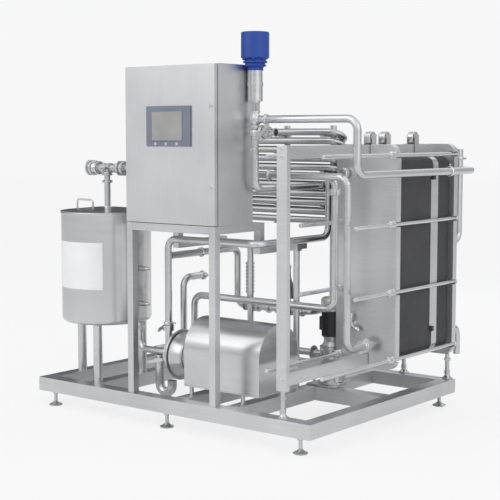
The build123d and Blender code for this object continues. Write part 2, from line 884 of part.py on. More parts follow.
save("delivery_line", *delivery)

# Return line to the suction side and the relief line beside it
branch_y = pump_y + pipe_radius
returns = pipe(
    (upper_turn_x + 60, return_y, upper_run_z),
    (return_x, return_y, upper_run_z),
    (return_x, return_y, return_run_z),
    (return_drop_x, return_y, return_run_z),
    (return_drop_x, return_y, pump_z),
    (return_drop_x, branch_y, pump_z),
)
returns += pipe(
    (relief_drop_x, 780, relief_run_z),
    (relief_drop_x, return_y, relief_run_z),
    (relief_drop_x, return_y, pump_z),
    (relief_drop_x, branch_y, pump_z),
)
save("return_line", *returns)

# Plate feed line, turned back into the return line behind the cabinet
plate_feed = pipe(
    (feed_x, pressure_front, feed_z),
    (feed_x, feed_y, feed_z),
    (feed_x, feed_y, upper_run_z),
    (upper_turn_x + 60, feed_y, upper_run_z),
)
plate_feed += pipe(
    (upper_turn_x + 60, feed_y, upper_run_z),
    (upper_turn_x, feed_y, upper_run_z),
    (upper_turn_x, return_y, upper_run_z),
    (upper_turn_x + 60, return_y, upper_run_z),
    turn=tight_bend,
)
save("plate_feed_line", *plate_feed)

# Main line from the diversion valve round the plate heat exchanger to its frame plate
plate_back_face = frame_front + plate_thickness
main_line = pipe(
    (valve_x + 44, valve_y, forward_z),
    (main_x, valve_y, forward_z),
    (main_x, valve_y, main_z),
    (main_x, rear_y, main_z),
    (rear_x + pipe_radius, rear_y, main_z),
)
main_line += pipe(
    (rear_x, rear_y, rear_top),
    (rear_x, rear_y, rear_port_z),
    (rear_x, plate_back_face, rear_port_z),
    turn=50,
)
main_line += pipe(
    (rear_x, plate_back_face, rear_low_z),
    (rear_x, rear_y, rear_low_z),
    (rear_x, rear_y, rear_mouth + mouth_depth),
    turn=50,
)
main_line.append(disc(upward(rear_x, rear_y, rear_mouth), mouth_depth, pipe_radius, pipe_bore))
save("main_line", *main_line)

# Holding coil: front and back straights with return bends at both ends
def return_bend(start, finish, outward):
    middle = (start + finish) / 2
    arm = start - middle
    reach = Vector(outward, 0, 0) * (arm.length / cos(pi / (2 * coil_bend_corners)))
    spread = arm * (1 / cos(pi / (2 * coil_bend_corners)))
    stops = [start]
    for corner in range(coil_bend_corners):
        angle = pi * (corner + 0.5) / coil_bend_corners
        stops.append(middle + spread * cos(angle) + reach * sin(angle))
    stops.append(finish)
    with BuildPart() as piece:
        with BuildLine() as route:
            Polyline(*stops)
        with BuildSketch(Plane(origin=start, z_dir=(outward, 0, 0))):
            Circle(pipe_radius)
        sweep(path=route.wires()[0], transition=Transition.RIGHT)
    weld = Plane(origin=middle, z_dir=arm)
    return [split(piece.part, bisect_by=weld, keep=side) for side in (Keep.TOP, Keep.BOTTOM)]


coil = []
coil_bottom = coil_top - (coil_levels - 1) * coil_pitch
for level in range(coil_levels):
    level_z = coil_top - level * coil_pitch
    front_end = coil_outlet_x if level == coil_outlet_level else coil_right
    coil.append(disc(rightward(coil_left, coil_front, level_z), front_end - coil_left, pipe_radius))
    if 0 < level < coil_levels - 1:
        coil.append(disc(rightward(coil_left, coil_back, level_z), coil_right - coil_left, pipe_radius))
        left_front = at(coil_left, coil_front, level_z)
        coil += return_bend(left_front, at(coil_left, coil_back, level_z), -1)
        step = -1 if level <= coil_inlet_level else 1
        right_front = at(coil_right, coil_front, level_z - step * coil_pitch)
        coil += return_bend(right_front, at(coil_right, coil_back, level_z), 1)
coil += pipe(
    (coil_left, coil_front, coil_top),
    (coil_drop_x, coil_front, coil_top),
    (coil_drop_x, coil_front, coil_bottom),
    (coil_left, coil_front, coil_bottom),
)
save("holding_coil", *coil)

# Coil rack: posts between the rows and straps under every second level
rack = []
rack_y = (coil_front + coil_back) / 2
rack_top = coil_top + 36
for post_x in (rack_post_left, rack_post_right):
    rack.append(disc(upward(post_x, rack_y, frame_top), rack_top - frame_top, rack_post_radius))
    for strap_level in range(0, coil_levels, 2):
        strap_x = post_x - rack_post_radius - coil_strap_width / 2
        strap_z = coil_top - strap_level * coil_pitch - pipe_radius - coil_strap_thickness
        strap_length = coil_back - coil_front + 30
        strap_plane = backward(strap_x, rack_y - strap_length / 2, strap_z + coil_strap_thickness / 2)
        rack.append(bar(strap_plane, strap_length, coil_strap_width, coil_strap_thickness))
save("coil_rack", *rack)

# Flow diversion valve: body, outlet pipe, yoke, cylinder, head and stem
valve_middle = yoke_bottom - valve_bottom
with BuildPart() as diversion_body:
    with BuildSketch(Plane(origin=at(valve_x, valve_y, valve_bottom), x_dir=(1, 0, 0), z_dir=(0, -1, 0))):
        with BuildLine():
            Polyline(
                (0, 0),
                (pipe_radius, 0),
                (28, 12),
                (28, 40),
                (22, 50),
                (30, 50),
                (30, 62),
                (22, 62),
                (31, 77),
                (31, 107),
                (24, 121),
                (24, valve_middle),
                (0, valve_middle),
                close=True,
            )
        make_face()
    revolve(axis=Axis(at(valve_x, valve_y, valve_bottom), (0, 0, 1)))
    with BuildSketch(rightward(valve_x, valve_y, forward_z)):
        Circle(pipe_radius)
    extrude(amount=44)
    with BuildSketch(rightward(valve_x, valve_y, divert_z)):
        Circle(pipe_radius)
    extrude(amount=divert_valve_x - butterfly_width / 2 - valve_x)
    with BuildSketch(rightward(divert_valve_x - butterfly_width / 2 - disc_room, valve_y, divert_z)):
        Circle(pipe_bore)
    extrude(amount=disc_room, mode=Mode.SUBTRACT)
    with BuildSketch(upward(valve_x, valve_y, valve_bottom + 12)):
        Circle(stem_bore)
    extrude(amount=valve_middle, mode=Mode.SUBTRACT)
diversion = [diversion_body.part]
diversion += pipe(
    (valve_x, valve_y, valve_bottom),
    (valve_x, valve_y, coil_outlet_z),
    (valve_x, coil_front, coil_outlet_z),
    (coil_outlet_x, coil_front, coil_outlet_z),
    turn=50,
)
divert_start = divert_valve_x + butterfly_width / 2
diversion.append(disc(rightward(divert_start, valve_y, divert_z), mouth_depth, pipe_radius, pipe_bore))
save("diversion_valve_body", *diversion)
yoke_height = yoke_top - yoke_bottom
cylinder_height = cylinder_top - yoke_top
drive = [
    disc(upward(valve_x, valve_y, yoke_bottom), yoke_plate, yoke_radius, stem_radius + shaft_fit),
    disc(upward(valve_x, valve_y, yoke_top - yoke_plate), yoke_plate, yoke_radius, stem_radius + shaft_fit),
]
for pillar_side in (-1, 1):
    pillar_x = valve_x + pillar_side * (yoke_radius - 7)
    drive.append(bar(upward(pillar_x, valve_y, yoke_bottom + yoke_plate), yoke_height - 2 * yoke_plate, 10, 16))
drive.append(turned(
    upward(valve_x, valve_y, yoke_top),
    (stem_radius + shaft_fit, 0),
    (cylinder_radius, 0),
    (cylinder_radius, 74),
    (cylinder_radius + 3, 74),
    (cylinder_radius + 3, 94),
    (cylinder_radius, 94),
    (cylinder_radius, cylinder_height),
    (0, cylinder_height),
    (0, cylinder_height - 30),
    (cylinder_bore, cylinder_height - 30),
    (cylinder_bore, 14),
    (stem_radius + shaft_fit, 14),
))
save("valve_cylinder", *drive)
head_height = head_top - cylinder_top
head = [turned(
    upward(valve_x, valve_y, cylinder_top),
    (0, 0),
    (cylinder_radius, 0),
    (60, 10),
    (63, 22),
    (50, 24),
    (50, head_bottom - cylinder_top),
    (head_radius, head_bottom - cylinder_top),
    (head_radius, head_height - 14),
    (head_radius - 8, head_height),
    (0, head_height),
)]
for gland_angle in (200, 250, 300, 350):
    gland_x = valve_x + 60 * cos(radians(gland_angle))
    gland_y = valve_y + 60 * sin(radians(gland_angle))
    head.append(disc(upward(gland_x, gland_y, head_bottom - 26), 26, 8))
save("valve_control_head", *head)
stem_top = yoke_top + 40
save("valve_stem", turned(
    upward(valve_x, valve_y, valve_bottom + 20),
    (0, 0),
    (stem_radius, 0),
    (stem_radius, 30),
    (plug_radius, 30),
    (plug_radius, 44),
    (stem_radius, 44),
    (stem_radius, stem_top - piston_thickness - valve_bottom - 20),
    (cylinder_bore - shaft_fit, stem_top - piston_thickness - valve_bottom - 20),
    (cylinder_bore - shaft_fit, stem_top - valve_bottom - 20),
    (0, stem_top - valve_bottom - 20),
))

# Plate heat exchanger: front post, carrying bar and guide bar
save("heat_exchanger_post", bar(
    upward(plate_x, post_front + post_thickness / 2, plate_bottom - 10),
    carrying_top - plate_bottom + 10,
    post_width,
    post_thickness,
))
rail_start = post_front + post_thickness
rail_length = frame_front - rail_start
carrying_middle = (carrying_bottom + carrying_top) / 2
guide_middle = (guide_bottom + guide_top) / 2
carrying_height = carrying_top - carrying_bottom
save("carrying_bar", bar(backward(plate_x, rail_start, carrying_middle), rail_length, rail_width, carrying_height))
guide_height = guide_top - guide_bottom
save("guide_bar", bar(backward(plate_x, rail_start, guide_middle), rail_length, rail_width, guide_height))


# End plates and grid hang on the carrying bar and take the tie rods in side slots
def end_plate(front, thickness, open_slots):
    height = plate_top - plate_bottom
    middle_z = (plate_top + plate_bottom) / 2
    with BuildPart() as piece:
        with BuildSketch(backward(plate_x, front, middle_z)) as outline:
            Rectangle(plate_width, height)
            fillet(outline.vertices(), plate_corner)
            if open_slots:
                slot_width = rail_width + 2 * rail_clearance
                with Locations((0, (carrying_bottom - rail_clearance + plate_top + 60) / 2 - middle_z)):
                    Rectangle(slot_width, plate_top + 60 - carrying_bottom + rail_clearance, mode=Mode.SUBTRACT)
                with Locations((0, (guide_top + rail_clearance + plate_bottom - 60) / 2 - middle_z)):
                    Rectangle(slot_width, guide_top + rail_clearance - plate_bottom + 60, mode=Mode.SUBTRACT)
            notch_width = tie_rod_radius + tie_rod_clearance
            for rod_z in tie_rod_levels:
                for side in (-1, 1):
                    with Locations((side * (tie_rod_spread + 30 - notch_width / 2), rod_z - middle_z)):
                        Rectangle(60 + notch_width, 2 * notch_width, mode=Mode.SUBTRACT)
        extrude(amount=thickness)
    return piece.part


save("pressure_plate", end_plate(pressure_front, plate_thickness, True))
save("connecting_grid", end_plate(grid_front, grid_thickness, True))
save("frame_plate", end_plate(frame_front, plate_thickness, False))


# Packs of heat exchanger plates
def plate_pack(front, depth):
    middle_z = (pack_bottom + pack_top) / 2
    notch_top = guide_top + rail_clearance
    with BuildPart() as piece:
        with BuildSketch(backward(plate_x, front, middle_z)) as outline:
            Rectangle(pack_width, pack_top - pack_bottom)
            fillet(outline.vertices(), pack_corner)
            with Locations((0, (notch_top + pack_bottom) / 2 - middle_z)):
                Rectangle(rail_width + 2 * rail_clearance, notch_top - pack_bottom, mode=Mode.SUBTRACT)
        extrude(amount=depth)
    return piece.part


save("plate_pack_front", plate_pack(pressure_front + plate_thickness, grid_front - pressure_front - plate_thickness))
save("plate_pack_rear", plate_pack(grid_front + grid_thickness, frame_front - grid_front - grid_thickness))

# Tie rods with long sleeve nuts in front and plain nuts behind
rods = []
rod_nuts = []
rod_end_y = plate_back_face + rod_overhang
for rod_x in (plate_x - tie_rod_spread, plate_x + tie_rod_spread):
    for rod_z in tie_rod_levels:
        rod_start = long_rod_start if rod_z in (tie_rod_levels[0], tie_rod_levels[-1]) else short_rod_start
        rods.append(disc(backward(rod_x, rod_start, rod_z), rod_end_y - rod_start, tie_rod_radius))
        sleeve_y = pressure_front - sleeve_length
        rod_nuts.append(disc(backward(rod_x, sleeve_y, rod_z), sleeve_length, sleeve_radius, tie_rod_radius))
        rod_nuts.append(nut(backward(rod_x, plate_back_face, rod_z), back_nut_length, back_nut_width, tie_rod_radius))
save("tie_rods", *rods)
save("tie_rod_nuts", *rod_nuts)

# Rollers on the carrying bar and their brackets
roller_z = carrying_top + roller_radius + roller_gap
brackets = []
for roller_number, roller_y in enumerate(roller_rows, 1):
    foot_z = pack_top if roller_number == 2 else plate_top
    for side in (-1, 1):
        cheek_x = plate_x + side * (rail_width / 2 + 5)
        brackets.append(bar(upward(cheek_x, roller_y, foot_z), roller_z + 18 - foot_z, 6, 36))
    pin_length = rail_width + 4
    brackets.append(disc(rightward(plate_x - pin_length / 2, roller_y, roller_z), pin_length, roller_pin_radius))
    save("roller_" + str(roller_number), disc(
        rightward(plate_x - roller_width / 2, roller_y, roller_z),
        roller_width,
        roller_radius,
        roller_pin_radius + shaft_fit,
    ))
save("roller_brackets", *brackets)

# Edge strips with end blocks beside the pack
strips = []
for strip_side in (-1, 1):
    pack_edge = plate_x + strip_side * pack_width / 2
    for strip_y in (pressure_front + plate_thickness + 12, grid_front - 12):
        strips.append(bar(upward(pack_edge + strip_side * 1.5, strip_y, 480), 790, 3, 20))
        for block_z in (452, 1270):
            strips.append(bar(upward(pack_edge + strip_side * 10, strip_y, block_z), 28, 20, 22))
save("edge_strips", *strips)

# Hand wheel with three arms on the pressure plate
with BuildPart() as hand_wheel:
    with BuildSketch(backward(wheel_x, pressure_front - 34, wheel_z)):
        Circle(13)
    extrude(amount=16)
    with BuildSketch(backward(wheel_x, pressure_front - 20, wheel_z)):
        Circle(6)
    extrude(amount=16)
    with BuildSketch(backward(wheel_x, pressure_front - 31, wheel_z)):
        with PolarLocations(wheel_arm / 2, 3, start_angle=90):
            Rectangle(wheel_arm, 9)
        with PolarLocations(wheel_arm, 3, start_angle=90):
            Circle(9)
    extrude(amount=9)
hand_wheel.part.label = "hand_wheel"
export_step(hand_wheel.part, "parts/hand_wheel.step")

# Unions, clamps and port fittings
clamps = [
    turned(
        backward(wheel_x, pressure_front - 17, wheel_z),
        (6 + shaft_fit, 0),
        (15, 0),
        (18, 17),
        (0, 17),
        (0, 14),
        (6 + shaft_fit, 14),
    ),
    disc(backward(open_port_x, pressure_front - mouth_depth, open_port_z), mouth_depth, union_radius, open_port_bore),
    disc(backward(feed_x, pressure_front - 93, feed_z), 45, 40, pipe_radius),
    disc(upward(discharge_x, discharge_y, riser_bottom), clamp_width, clamp_radius, pipe_radius),
    disc(upward(return_x, return_y, upper_run_z - 97), union_width, union_radius, pipe_radius),
    disc(backward(main_x, 1160, main_z), clamp_width, clamp_radius, pipe_radius),
    disc(rightward(valve_x + 62, valve_y, forward_z), clamp_width, clamp_radius, pipe_radius),
    disc(upward(valve_x, valve_y, valve_bottom - 70), clamp_width, clamp_radius, pipe_radius),
    disc(rightward(upper_turn_x + 140, feed_y, upper_run_z), clamp_width, clamp_radius, pipe_radius),
    disc(backward(discharge_x, 510, tee_z), clamp_width, clamp_radius, pipe_radius),
    disc(upward(rear_x, rear_y, rear_top - 60), clamp_width, clamp_radius, pipe_radius),
    disc(rightward(coil_right, coil_front, coil_inlet_z), 12, 25, pipe_radius),
    disc(backward(relief_drop_x, 750, relief_run_z), clamp_width, clamp_radius, pipe_radius),
    disc(rightward(valve_x + 42, valve_y, divert_z), 16, 37.5, pipe_radius),
]
save("unions_and_clamps", *clamps)

# Hot water pump standing on its plate
plate_left = 1310
plate_right = 1500
water_plate_middle = (plate_left + plate_right) / 2
water_foot = frame_top + water_plate_thickness
water_pump_height = water_pump_top - water_foot
water_casing = turned(
    upward(water_x, water_y, water_foot),
    (0, 0),
    (water_radius + 14, 0),
    (water_radius + 14, 12),
    (water_radius, 12),
    (water_radius, 190),
    (water_radius + 8, 190),
    (water_radius + 8, 204),
    (water_radius - 6, water_pump_height),
    (water_shaft_radius + shaft_fit, water_pump_height),
    (water_shaft_radius + shaft_fit, 190),
    (water_radius - 8, 190),
    (water_radius - 8, 110),
    (0, 110),
)
water_pump = [
    bar(upward(water_plate_middle, water_y - 15, frame_top), water_plate_thickness, plate_right - plate_left, 150),
    water_casing,
    disc(rightward(water_x - 128, water_y, water_suction_z), 68, pipe_radius),
    disc(rightward(water_x - 132, water_y, water_suction_z), 8, 40),
]
save("hot_water_pump", *water_pump)
water_motor_height = water_motor_top - water_pump_top
water_cap_height = water_cap_top - water_motor_top
save(
    "hot_water_motor",
    disc(upward(water_x, water_y, water_pump_top), water_motor_height, water_radius, water_shaft_radius + shaft_fit),
    turned(
        upward(water_x, water_y, water_motor_top),
        (water_radius - 6, 0),
        (water_radius + 3, 0),
        (water_radius + 3, water_cap_height - 10),
        (water_radius - 8, water_cap_height),
        (0, water_cap_height),
        (0, water_cap_height - 4),
        (water_radius - 10, water_cap_height - 4),
        (water_radius - 6, water_cap_height - 12),
    ),
)
with BuildPart() as hot_water_rotor:
    with BuildSketch(upward(water_x, water_y, water_foot + 122)):
        Circle(water_shaft_radius)
    extrude(amount=water_cap_top - 20 - water_foot - 122)
    with BuildSketch(upward(water_x, water_y, water_foot + 120)):
        Circle(water_radius - 16)
    extrude(amount=20)
    with BuildSketch(upward(water_x, water_y, water_motor_top + 24)):
        Circle(18)
        with PolarLocations(30, 6):
            Rectangle(34, 4)
    extrude(amount=20)
hot_water_rotor.part.label = "hot_water_rotor"
export_step(hot_water_rotor.part, "parts/hot_water_rotor.step")

# Control valves and the hot water line
valves = []
for valve_place in control_valve_places:
    valves.append(disc(rightward(valve_place - 36, water_y, valve_row_z), 72, 30))
    valves.append(turned(
        upward(valve_place, water_y, valve_row_z + 30),
        (0, 0),
        (16, 0),
        (16, 40),
        (50, 52),
        (52, 80),
        (34, 180),
        (24, 236),
        (0, 240),
    ))
save("control_valves", *valves)
first_valve, second_valve = control_valve_places
water_line = pipe(
    (second_valve + 36, water_y, valve_row_z),
    (water_turn_x, water_y, valve_row_z),
    (water_turn_x, grid_port_y, valve_row_z),
    (plate_x - plate_width / 2, grid_port_y, valve_row_z),
)
water_line += pipe(
    (water_x - 132, water_y, water_suction_z),
    (second_valve, water_y, water_suction_z),
    (second_valve, water_y, valve_row_z - 30),
)
between_valves = second_valve - first_valve - 72
water_line.append(disc(rightward(first_valve + 36, water_y, valve_row_z), between_valves, pipe_radius))
for union_x in (first_valve + 50, first_valve + 125, second_valve - 74, second_valve + 51, second_valve + 91):
    water_line.append(disc(rightward(union_x, water_y, valve_row_z), 22, 30, pipe_radius))
save("hot_water_line", *water_line)
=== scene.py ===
import json
import math

import bpy
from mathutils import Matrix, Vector


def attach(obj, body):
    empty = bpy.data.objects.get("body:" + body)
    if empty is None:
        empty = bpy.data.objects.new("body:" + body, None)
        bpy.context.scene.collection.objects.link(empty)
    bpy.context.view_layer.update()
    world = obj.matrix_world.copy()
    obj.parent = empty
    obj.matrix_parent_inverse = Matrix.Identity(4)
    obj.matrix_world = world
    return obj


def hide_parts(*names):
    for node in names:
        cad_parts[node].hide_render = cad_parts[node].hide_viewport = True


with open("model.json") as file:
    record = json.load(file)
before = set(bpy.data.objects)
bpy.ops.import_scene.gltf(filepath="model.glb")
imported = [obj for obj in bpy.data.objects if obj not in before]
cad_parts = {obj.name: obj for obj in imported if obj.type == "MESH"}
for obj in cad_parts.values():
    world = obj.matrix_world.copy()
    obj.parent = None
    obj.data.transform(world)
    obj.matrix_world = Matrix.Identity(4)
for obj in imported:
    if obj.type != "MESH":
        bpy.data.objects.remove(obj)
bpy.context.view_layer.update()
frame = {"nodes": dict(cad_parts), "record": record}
print("frame loaded")

# Places are written in millimetres from the base frame's front left corner at the floor
outlineMiddle = {"x": 983.5, "y": 733.5}
bodyOfNode = {}
for bodyName, members in frame["record"]["behaviour"]["bodies"].items():
    for member in members:
        bodyOfNode[member] = bodyName
slotOfNode = {entry["node"]: entry["material_slot"] for entry in frame["record"]["subparts"]}
right = (1, 0, 0)
back = (0, 1, 0)
ahead = (0, -1, 0)
up = (0, 0, 1)


def at(x, y, z):
    return Vector(((x - outlineMiddle["x"]) / 1000, (y - outlineMiddle["y"]) / 1000, z / 1000))


# Shader maths: a wrapped socket that takes Python's operators
class Signal:
    def __init__(self, tree, socket):
        self.tree = tree
        self.socket = socket

    def add(self, kind, settings=None, values=None, output=0):
        node = self.tree.nodes.new(kind)
        for key, value in (settings or {}).items():
            if key == "stops":
                ramp = node.color_ramp.elements
                ramp[0].position, ramp[0].color = value[0]
                ramp[1].position, ramp[1].color = value[-1]
                for position, colour in value[1:-1]:
                    ramp.new(position).color = colour
            else:
                setattr(node, key, value)
        for key, value in (values or {}).items():
            if isinstance(value, Signal):
                self.tree.links.new(value.socket, node.inputs[key])
            else:
                node.inputs[key].default_value = value
        return Signal(self.tree, node.outputs[output])

    def maths(self, operation, other):
        return self.add("ShaderNodeMath", {"operation": operation}, {0: self, 1: other})

    def __add__(self, other):
        return self.maths("ADD", other)

    def __mul__(self, other):
        return self.maths("MULTIPLY", other)


def newLook(name, constants):
    look = bpy.data.materials.new(name)
    look.use_nodes = True
    shader = look.node_tree.nodes["Principled BSDF"]
    for socketName, value in constants.items():
        shader.inputs[socketName].default_value = value
    place = Signal(look.node_tree, None).add("ShaderNodeTexCoord", output="Object")
    return look, shader, place


def feed(shader, socketName, signal):
    signal.tree.links.new(signal.socket, shader.inputs[socketName])


def stretched(place, stretch, detail=3.0):
    spread = place.add("ShaderNodeMapping", values={"Vector": place, "Scale": stretch})
    return place.add("ShaderNodeTexNoise", values={"Vector": spread, "Scale": 1.0, "Detail": detail})


# The tint from its darker to its paler shade, by a signal
def shaded(place, tint, darker, paler, signal):
    dark = tuple(part * darker for part in tint) + (1,)
    pale = tuple(min(1, part * paler) for part in tint) + (1,)
    return place.add("ShaderNodeValToRGB", {"stops": [(0.3, dark), (0.7, pale)]}, {"Fac": signal})


# Stretches count a pattern's repeats per metre, and depths are in metres
steel = {
    "clouds": (3.2, 3.2, 3.2),
    "streakShare": 0.35,
    "cloudShare": 0.65,
    "dark": 0.90,
    "pale": 1.08,
    "depth": 0.0002,
}


def steelLook(name, tint, roughness, stretch, grain=0.10, dents=0.012):
    look, shader, place = newLook(name, {"Metallic": 1.0})
    streaks = stretched(place, stretch)
    clouds = stretched(place, steel["clouds"], 2.0)
    shade = streaks * steel["streakShare"] + clouds * steel["cloudShare"]
    feed(shader, "Base Color", shaded(place, tint, steel["dark"], steel["pale"], shade))
    feed(shader, "Roughness", streaks * grain + (roughness - grain / 2))
    bumpValues = {"Height": streaks, "Strength": dents, "Distance": steel["depth"]}
    feed(shader, "Normal", place.add("ShaderNodeBump", values=bumpValues))
    return look


plastic = {"clouds": (7, 7, 7), "coatRoughness": 0.12, "spread": 0.10, "depth": 0.0003}


def plasticLook(name, tint, roughness, coat=0.0, speckle=900, relief=0.06, cloud=0.10):
    look, shader, place = newLook(name, {"Coat Weight": coat, "Coat Roughness": plastic["coatRoughness"]})
    grain = stretched(place, (speckle, speckle, speckle), 2.0)
    clouds = stretched(place, plastic["clouds"], 2.0)
    feed(shader, "Base Color", shaded(place, tint, 1 - cloud, 1 + cloud, clouds))
    feed(shader, "Roughness", clouds * plastic["spread"] + (roughness - plastic["spread"] / 2))
    bumpValues = {"Height": grain, "Strength": relief, "Distance": plastic["depth"]}
    feed(shader, "Normal", place.add("ShaderNodeBump", values=bumpValues))
    return look


looks = {
    "satin_steel": steelLook("satinSteel", (0.70, 0.705, 0.72), 0.36, (5, 5, 190)),
    "polished_steel": steelLook("brightSteel", (0.67, 0.675, 0.685), 0.26, (3, 3, 40), 0.04, 0.003),
    "cabinet_steel": steelLook("cabinetSheet", (0.71, 0.715, 0.735), 0.38, (300, 300, 5)),
    "fitting_steel": steelLook("turnedSteel", (0.72, 0.725, 0.735), 0.22, (70, 70, 70), 0.08),
    "foot_steel": steelLook("footSteel", (0.62, 0.625, 0.63), 0.28, (40, 40, 300)),
    "lever_steel": steelLook("leverSteel", (0.70, 0.70, 0.71), 0.26, (50, 50, 50)),
    "probe_steel": steelLook("probeSteel", (0.50, 0.50, 0.51), 0.24, (260, 30, 30)),
    "rod_steel": steelLook("rodSteel", (0.76, 0.76, 0.77), 0.26, (40, 8, 40)),
    "shaft_steel": steelLook("groundSteel", (0.60, 0.60, 0.60), 0.18, (40, 40, 40)),
    "cast_pump_grey": steelLook("pumpSteel", (0.66, 0.665, 0.675), 0.30, (60, 60, 60), 0.12),
    "black_motor": plasticLook("motorPaint", (0.045, 0.046, 0.05), 0.42, 0.1),
    "dark_valve": steelLook("valveSteel", (0.46, 0.46, 0.465), 0.33, (60, 60, 60), 0.14),
    "blue_plastic": plasticLook("headPlastic", (0.007, 0.055, 0.33), 0.42, 0.12),
    "panel_plastic": plasticLook("bezelPlastic", (0.19, 0.205, 0.26), 0.40, 0.1),
    "key_plastic": plasticLook("keyPlastic", (0.55, 0.56, 0.58), 0.32, 0.2),
    "module_plastic": plasticLook("modulePlastic", (0.30, 0.31, 0.32), 0.50),
    "dark_gasket_plates": plasticLook("packEdges", (0.085, 0.086, 0.09), 0.62, 0.0, 700, 0.10),
    "roller_plastic": steelLook("rollerSteel", (0.74, 0.74, 0.75), 0.30, (40, 40, 40)),
    "edge_plastic": plasticLook("edgePlastic", (0.05, 0.05, 0.055), 0.45),
    "dark_plastic": steelLook("knobSteel", (0.72, 0.72, 0.73), 0.26, (50, 50, 50)),
    "screenGlass": plasticLook("screenGlass", (0.34, 0.345, 0.335), 0.22, 0.6, 60, 0.0),
    # The coil's steel is a darker copy of the polished pipe steel: painted shade for the shade between the
    # coil's tubes
    "coilSteelPaintedShade": steelLook("coilSteelPaintedShade", (0.53, 0.535, 0.545), 0.25, (3, 3, 40), 0.04, 0.003),
    "blankLabel": plasticLook("blankLabel", (0.86, 0.87, 0.88), 0.45, 0.1, 300, 0.02, 0.02),
}
print("finishes made")

# Modelling helpers: places and sizes in millimetres unless a name says metres
mesh = {
    "mergeMetres": 0.000002,
    "shortestMetres": 0.00001,
    "flatAngle": 0.4,
    "edgeAngle": 38,
    "nodeEdgeAngle": 42,
    "edgeSteps": 2,
    "digits": 7,
}
hexagon = 6


def onlySelect(*objects):
    bpy.ops.object.select_all(action="DESELECT")
    for item in objects:
        item.select_set(True)
    bpy.context.view_layer.objects.active = objects[0]


def joined(name, parts):
    onlySelect(*parts)
    if len(parts) > 1:
        bpy.ops.object.join()
    piece = bpy.context.view_layer.objects.active
    piece.name = name
    piece.data.name = name
    return piece


def softened(piece, width, angle=mesh["edgeAngle"]):
    onlySelect(piece)
    bevel = piece.modifiers.new("edges", "BEVEL")
    bevel.width = width / 1000
    bevel.segments = mesh["edgeSteps"]
    bevel.limit_method = "ANGLE"
    bevel.angle_limit = math.radians(angle)
    bevel.harden_normals = False
    bpy.ops.object.modifier_apply(modifier=bevel.name)


def cutAway(piece, cutter):
    cut = piece.modifiers.new("cut", "BOOLEAN")
    cut.operation = "DIFFERENCE"
    cut.object = cutter
    cut.solver = "EXACT"
    onlySelect(piece)
    bpy.ops.object.modifier_apply(modifier=cut.name)
    bpy.data.objects.remove(cutter)


def finish(piece, node, look=None, replace=True, angle=35):
    onlySelect(piece)
    bpy.ops.object.shade_smooth_by_angle(angle=math.radians(angle))
    evened = piece.modifiers.new("evenedNormals", "WEIGHTED_NORMAL")
    evened.keep_sharp = True
    bpy.ops.object.modifier_apply(modifier=evened.name)
    piece.data.materials.clear()
    piece.data.materials.append(looks[look or slotOfNode[node]])
    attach(piece, bodyOfNode[node])
    if replace:
        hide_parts(node)


# Each feature of a piece names its maker and what that takes
def made(features):
    parts = []
    for maker, *values in features.values():
        new = maker(*values)
        parts += new if isinstance(new, list) else [new]
    return parts


def block(x0, x1, y0, y1, z0, z1, edge):
    bpy.ops.object.select_all(action="DESELECT")
    low = at(x0, y0, z0)
    high = at(x1, y1, z1)
    bpy.ops.mesh.primitive_cube_add(size=1, location=(low + high) / 2)
    piece = bpy.context.object
    piece.scale = high - low
    bpy.ops.object.transform_apply(location=True, rotation=True, scale=True)
    if edge:
        softened(piece, edge)
    return piece


def startRing(place, direction, radius, sides):
    bpy.ops.object.select_all(action="DESELECT")
    turn = direction.to_track_quat("Z", "Y").to_euler()
    bpy.ops.mesh.primitive_circle_add(vertices=sides, radius=radius, location=place, rotation=turn)
    ring = bpy.context.object
    bpy.ops.object.transform_apply(location=True, rotation=True, scale=True)
    bpy.ops.object.mode_set(mode="EDIT")
    bpy.ops.mesh.select_all(action="SELECT")
    return ring


def closeRing(filled=True):
    bpy.ops.mesh.select_all(action="SELECT")
    if filled:
        bpy.ops.mesh.fill_holes(sides=0)
    bpy.ops.mesh.remove_doubles(threshold=mesh["mergeMetres"])
    bpy.ops.mesh.normals_make_consistent(inside=False)
    bpy.ops.object.mode_set(mode="OBJECT")


# A tube along its stops: straights are extruded and each corner is spun about its own centre
def tubeRun(stops, turn=57, radius=19, sides=28, bendSteps=9):
    points = [at(*stop) for stop in stops]
    turn = turn / 1000
    heading = (points[1] - points[0]).normalized()
    ring = startRing(points[0], heading, radius / 1000, sides)
    place = points[0]
    for corner, following in zip(points[1:], points[2:]):
        onward = (following - corner).normalized()
        angle = heading.angle(onward)
        cut = turn * math.tan(angle / 2)
        bendStart = corner - heading * cut
        if (bendStart - place).length > mesh["shortestMetres"]:
            bpy.ops.mesh.extrude_region_move(TRANSFORM_OT_translate={"value": bendStart - place})
        axis = heading.cross(onward).normalized()
        centre = bendStart + axis.cross(heading) * turn
        bpy.ops.mesh.spin(steps=bendSteps, angle=angle, center=centre, axis=-axis)
        place = corner + onward * cut
        heading = onward
    if (points[-1] - place).length > mesh["shortestMetres"]:
        bpy.ops.mesh.extrude_region_move(TRANSFORM_OT_translate={"value": points[-1] - place})
    closeRing()
    return ring


# Rings pushed along the axis and scaled to each (distance, radius) of the outline
def pushRings(start, direction, outline, sides):
    heading = Vector(direction).normalized()
    origin = at(*start)
    distance, radius = outline[0]
    ring = startRing(origin + heading * distance / 1000, heading, radius / 1000, sides)
    for nextDistance, nextRadius in outline[1:]:
        push = heading * (nextDistance - distance) / 1000
        bpy.ops.mesh.extrude_region_move(TRANSFORM_OT_translate={"value": push})
        growth = nextRadius / radius
        centre = origin + heading * nextDistance / 1000
        bpy.ops.transform.resize(value=(growth, growth, growth), center_override=centre)
        distance, radius = nextDistance, nextRadius
    return ring


def turned(start, direction, outline, sides):
    ring = pushRings(start, direction, outline, sides)
    closeRing()
    return ring


# Open right through: the outline goes along one face and back along the other
def turnedShell(start, direction, outline, sides):
    ring = pushRings(start, direction, outline + [outline[0]], sides)
    closeRing(filled=False)
    return ring


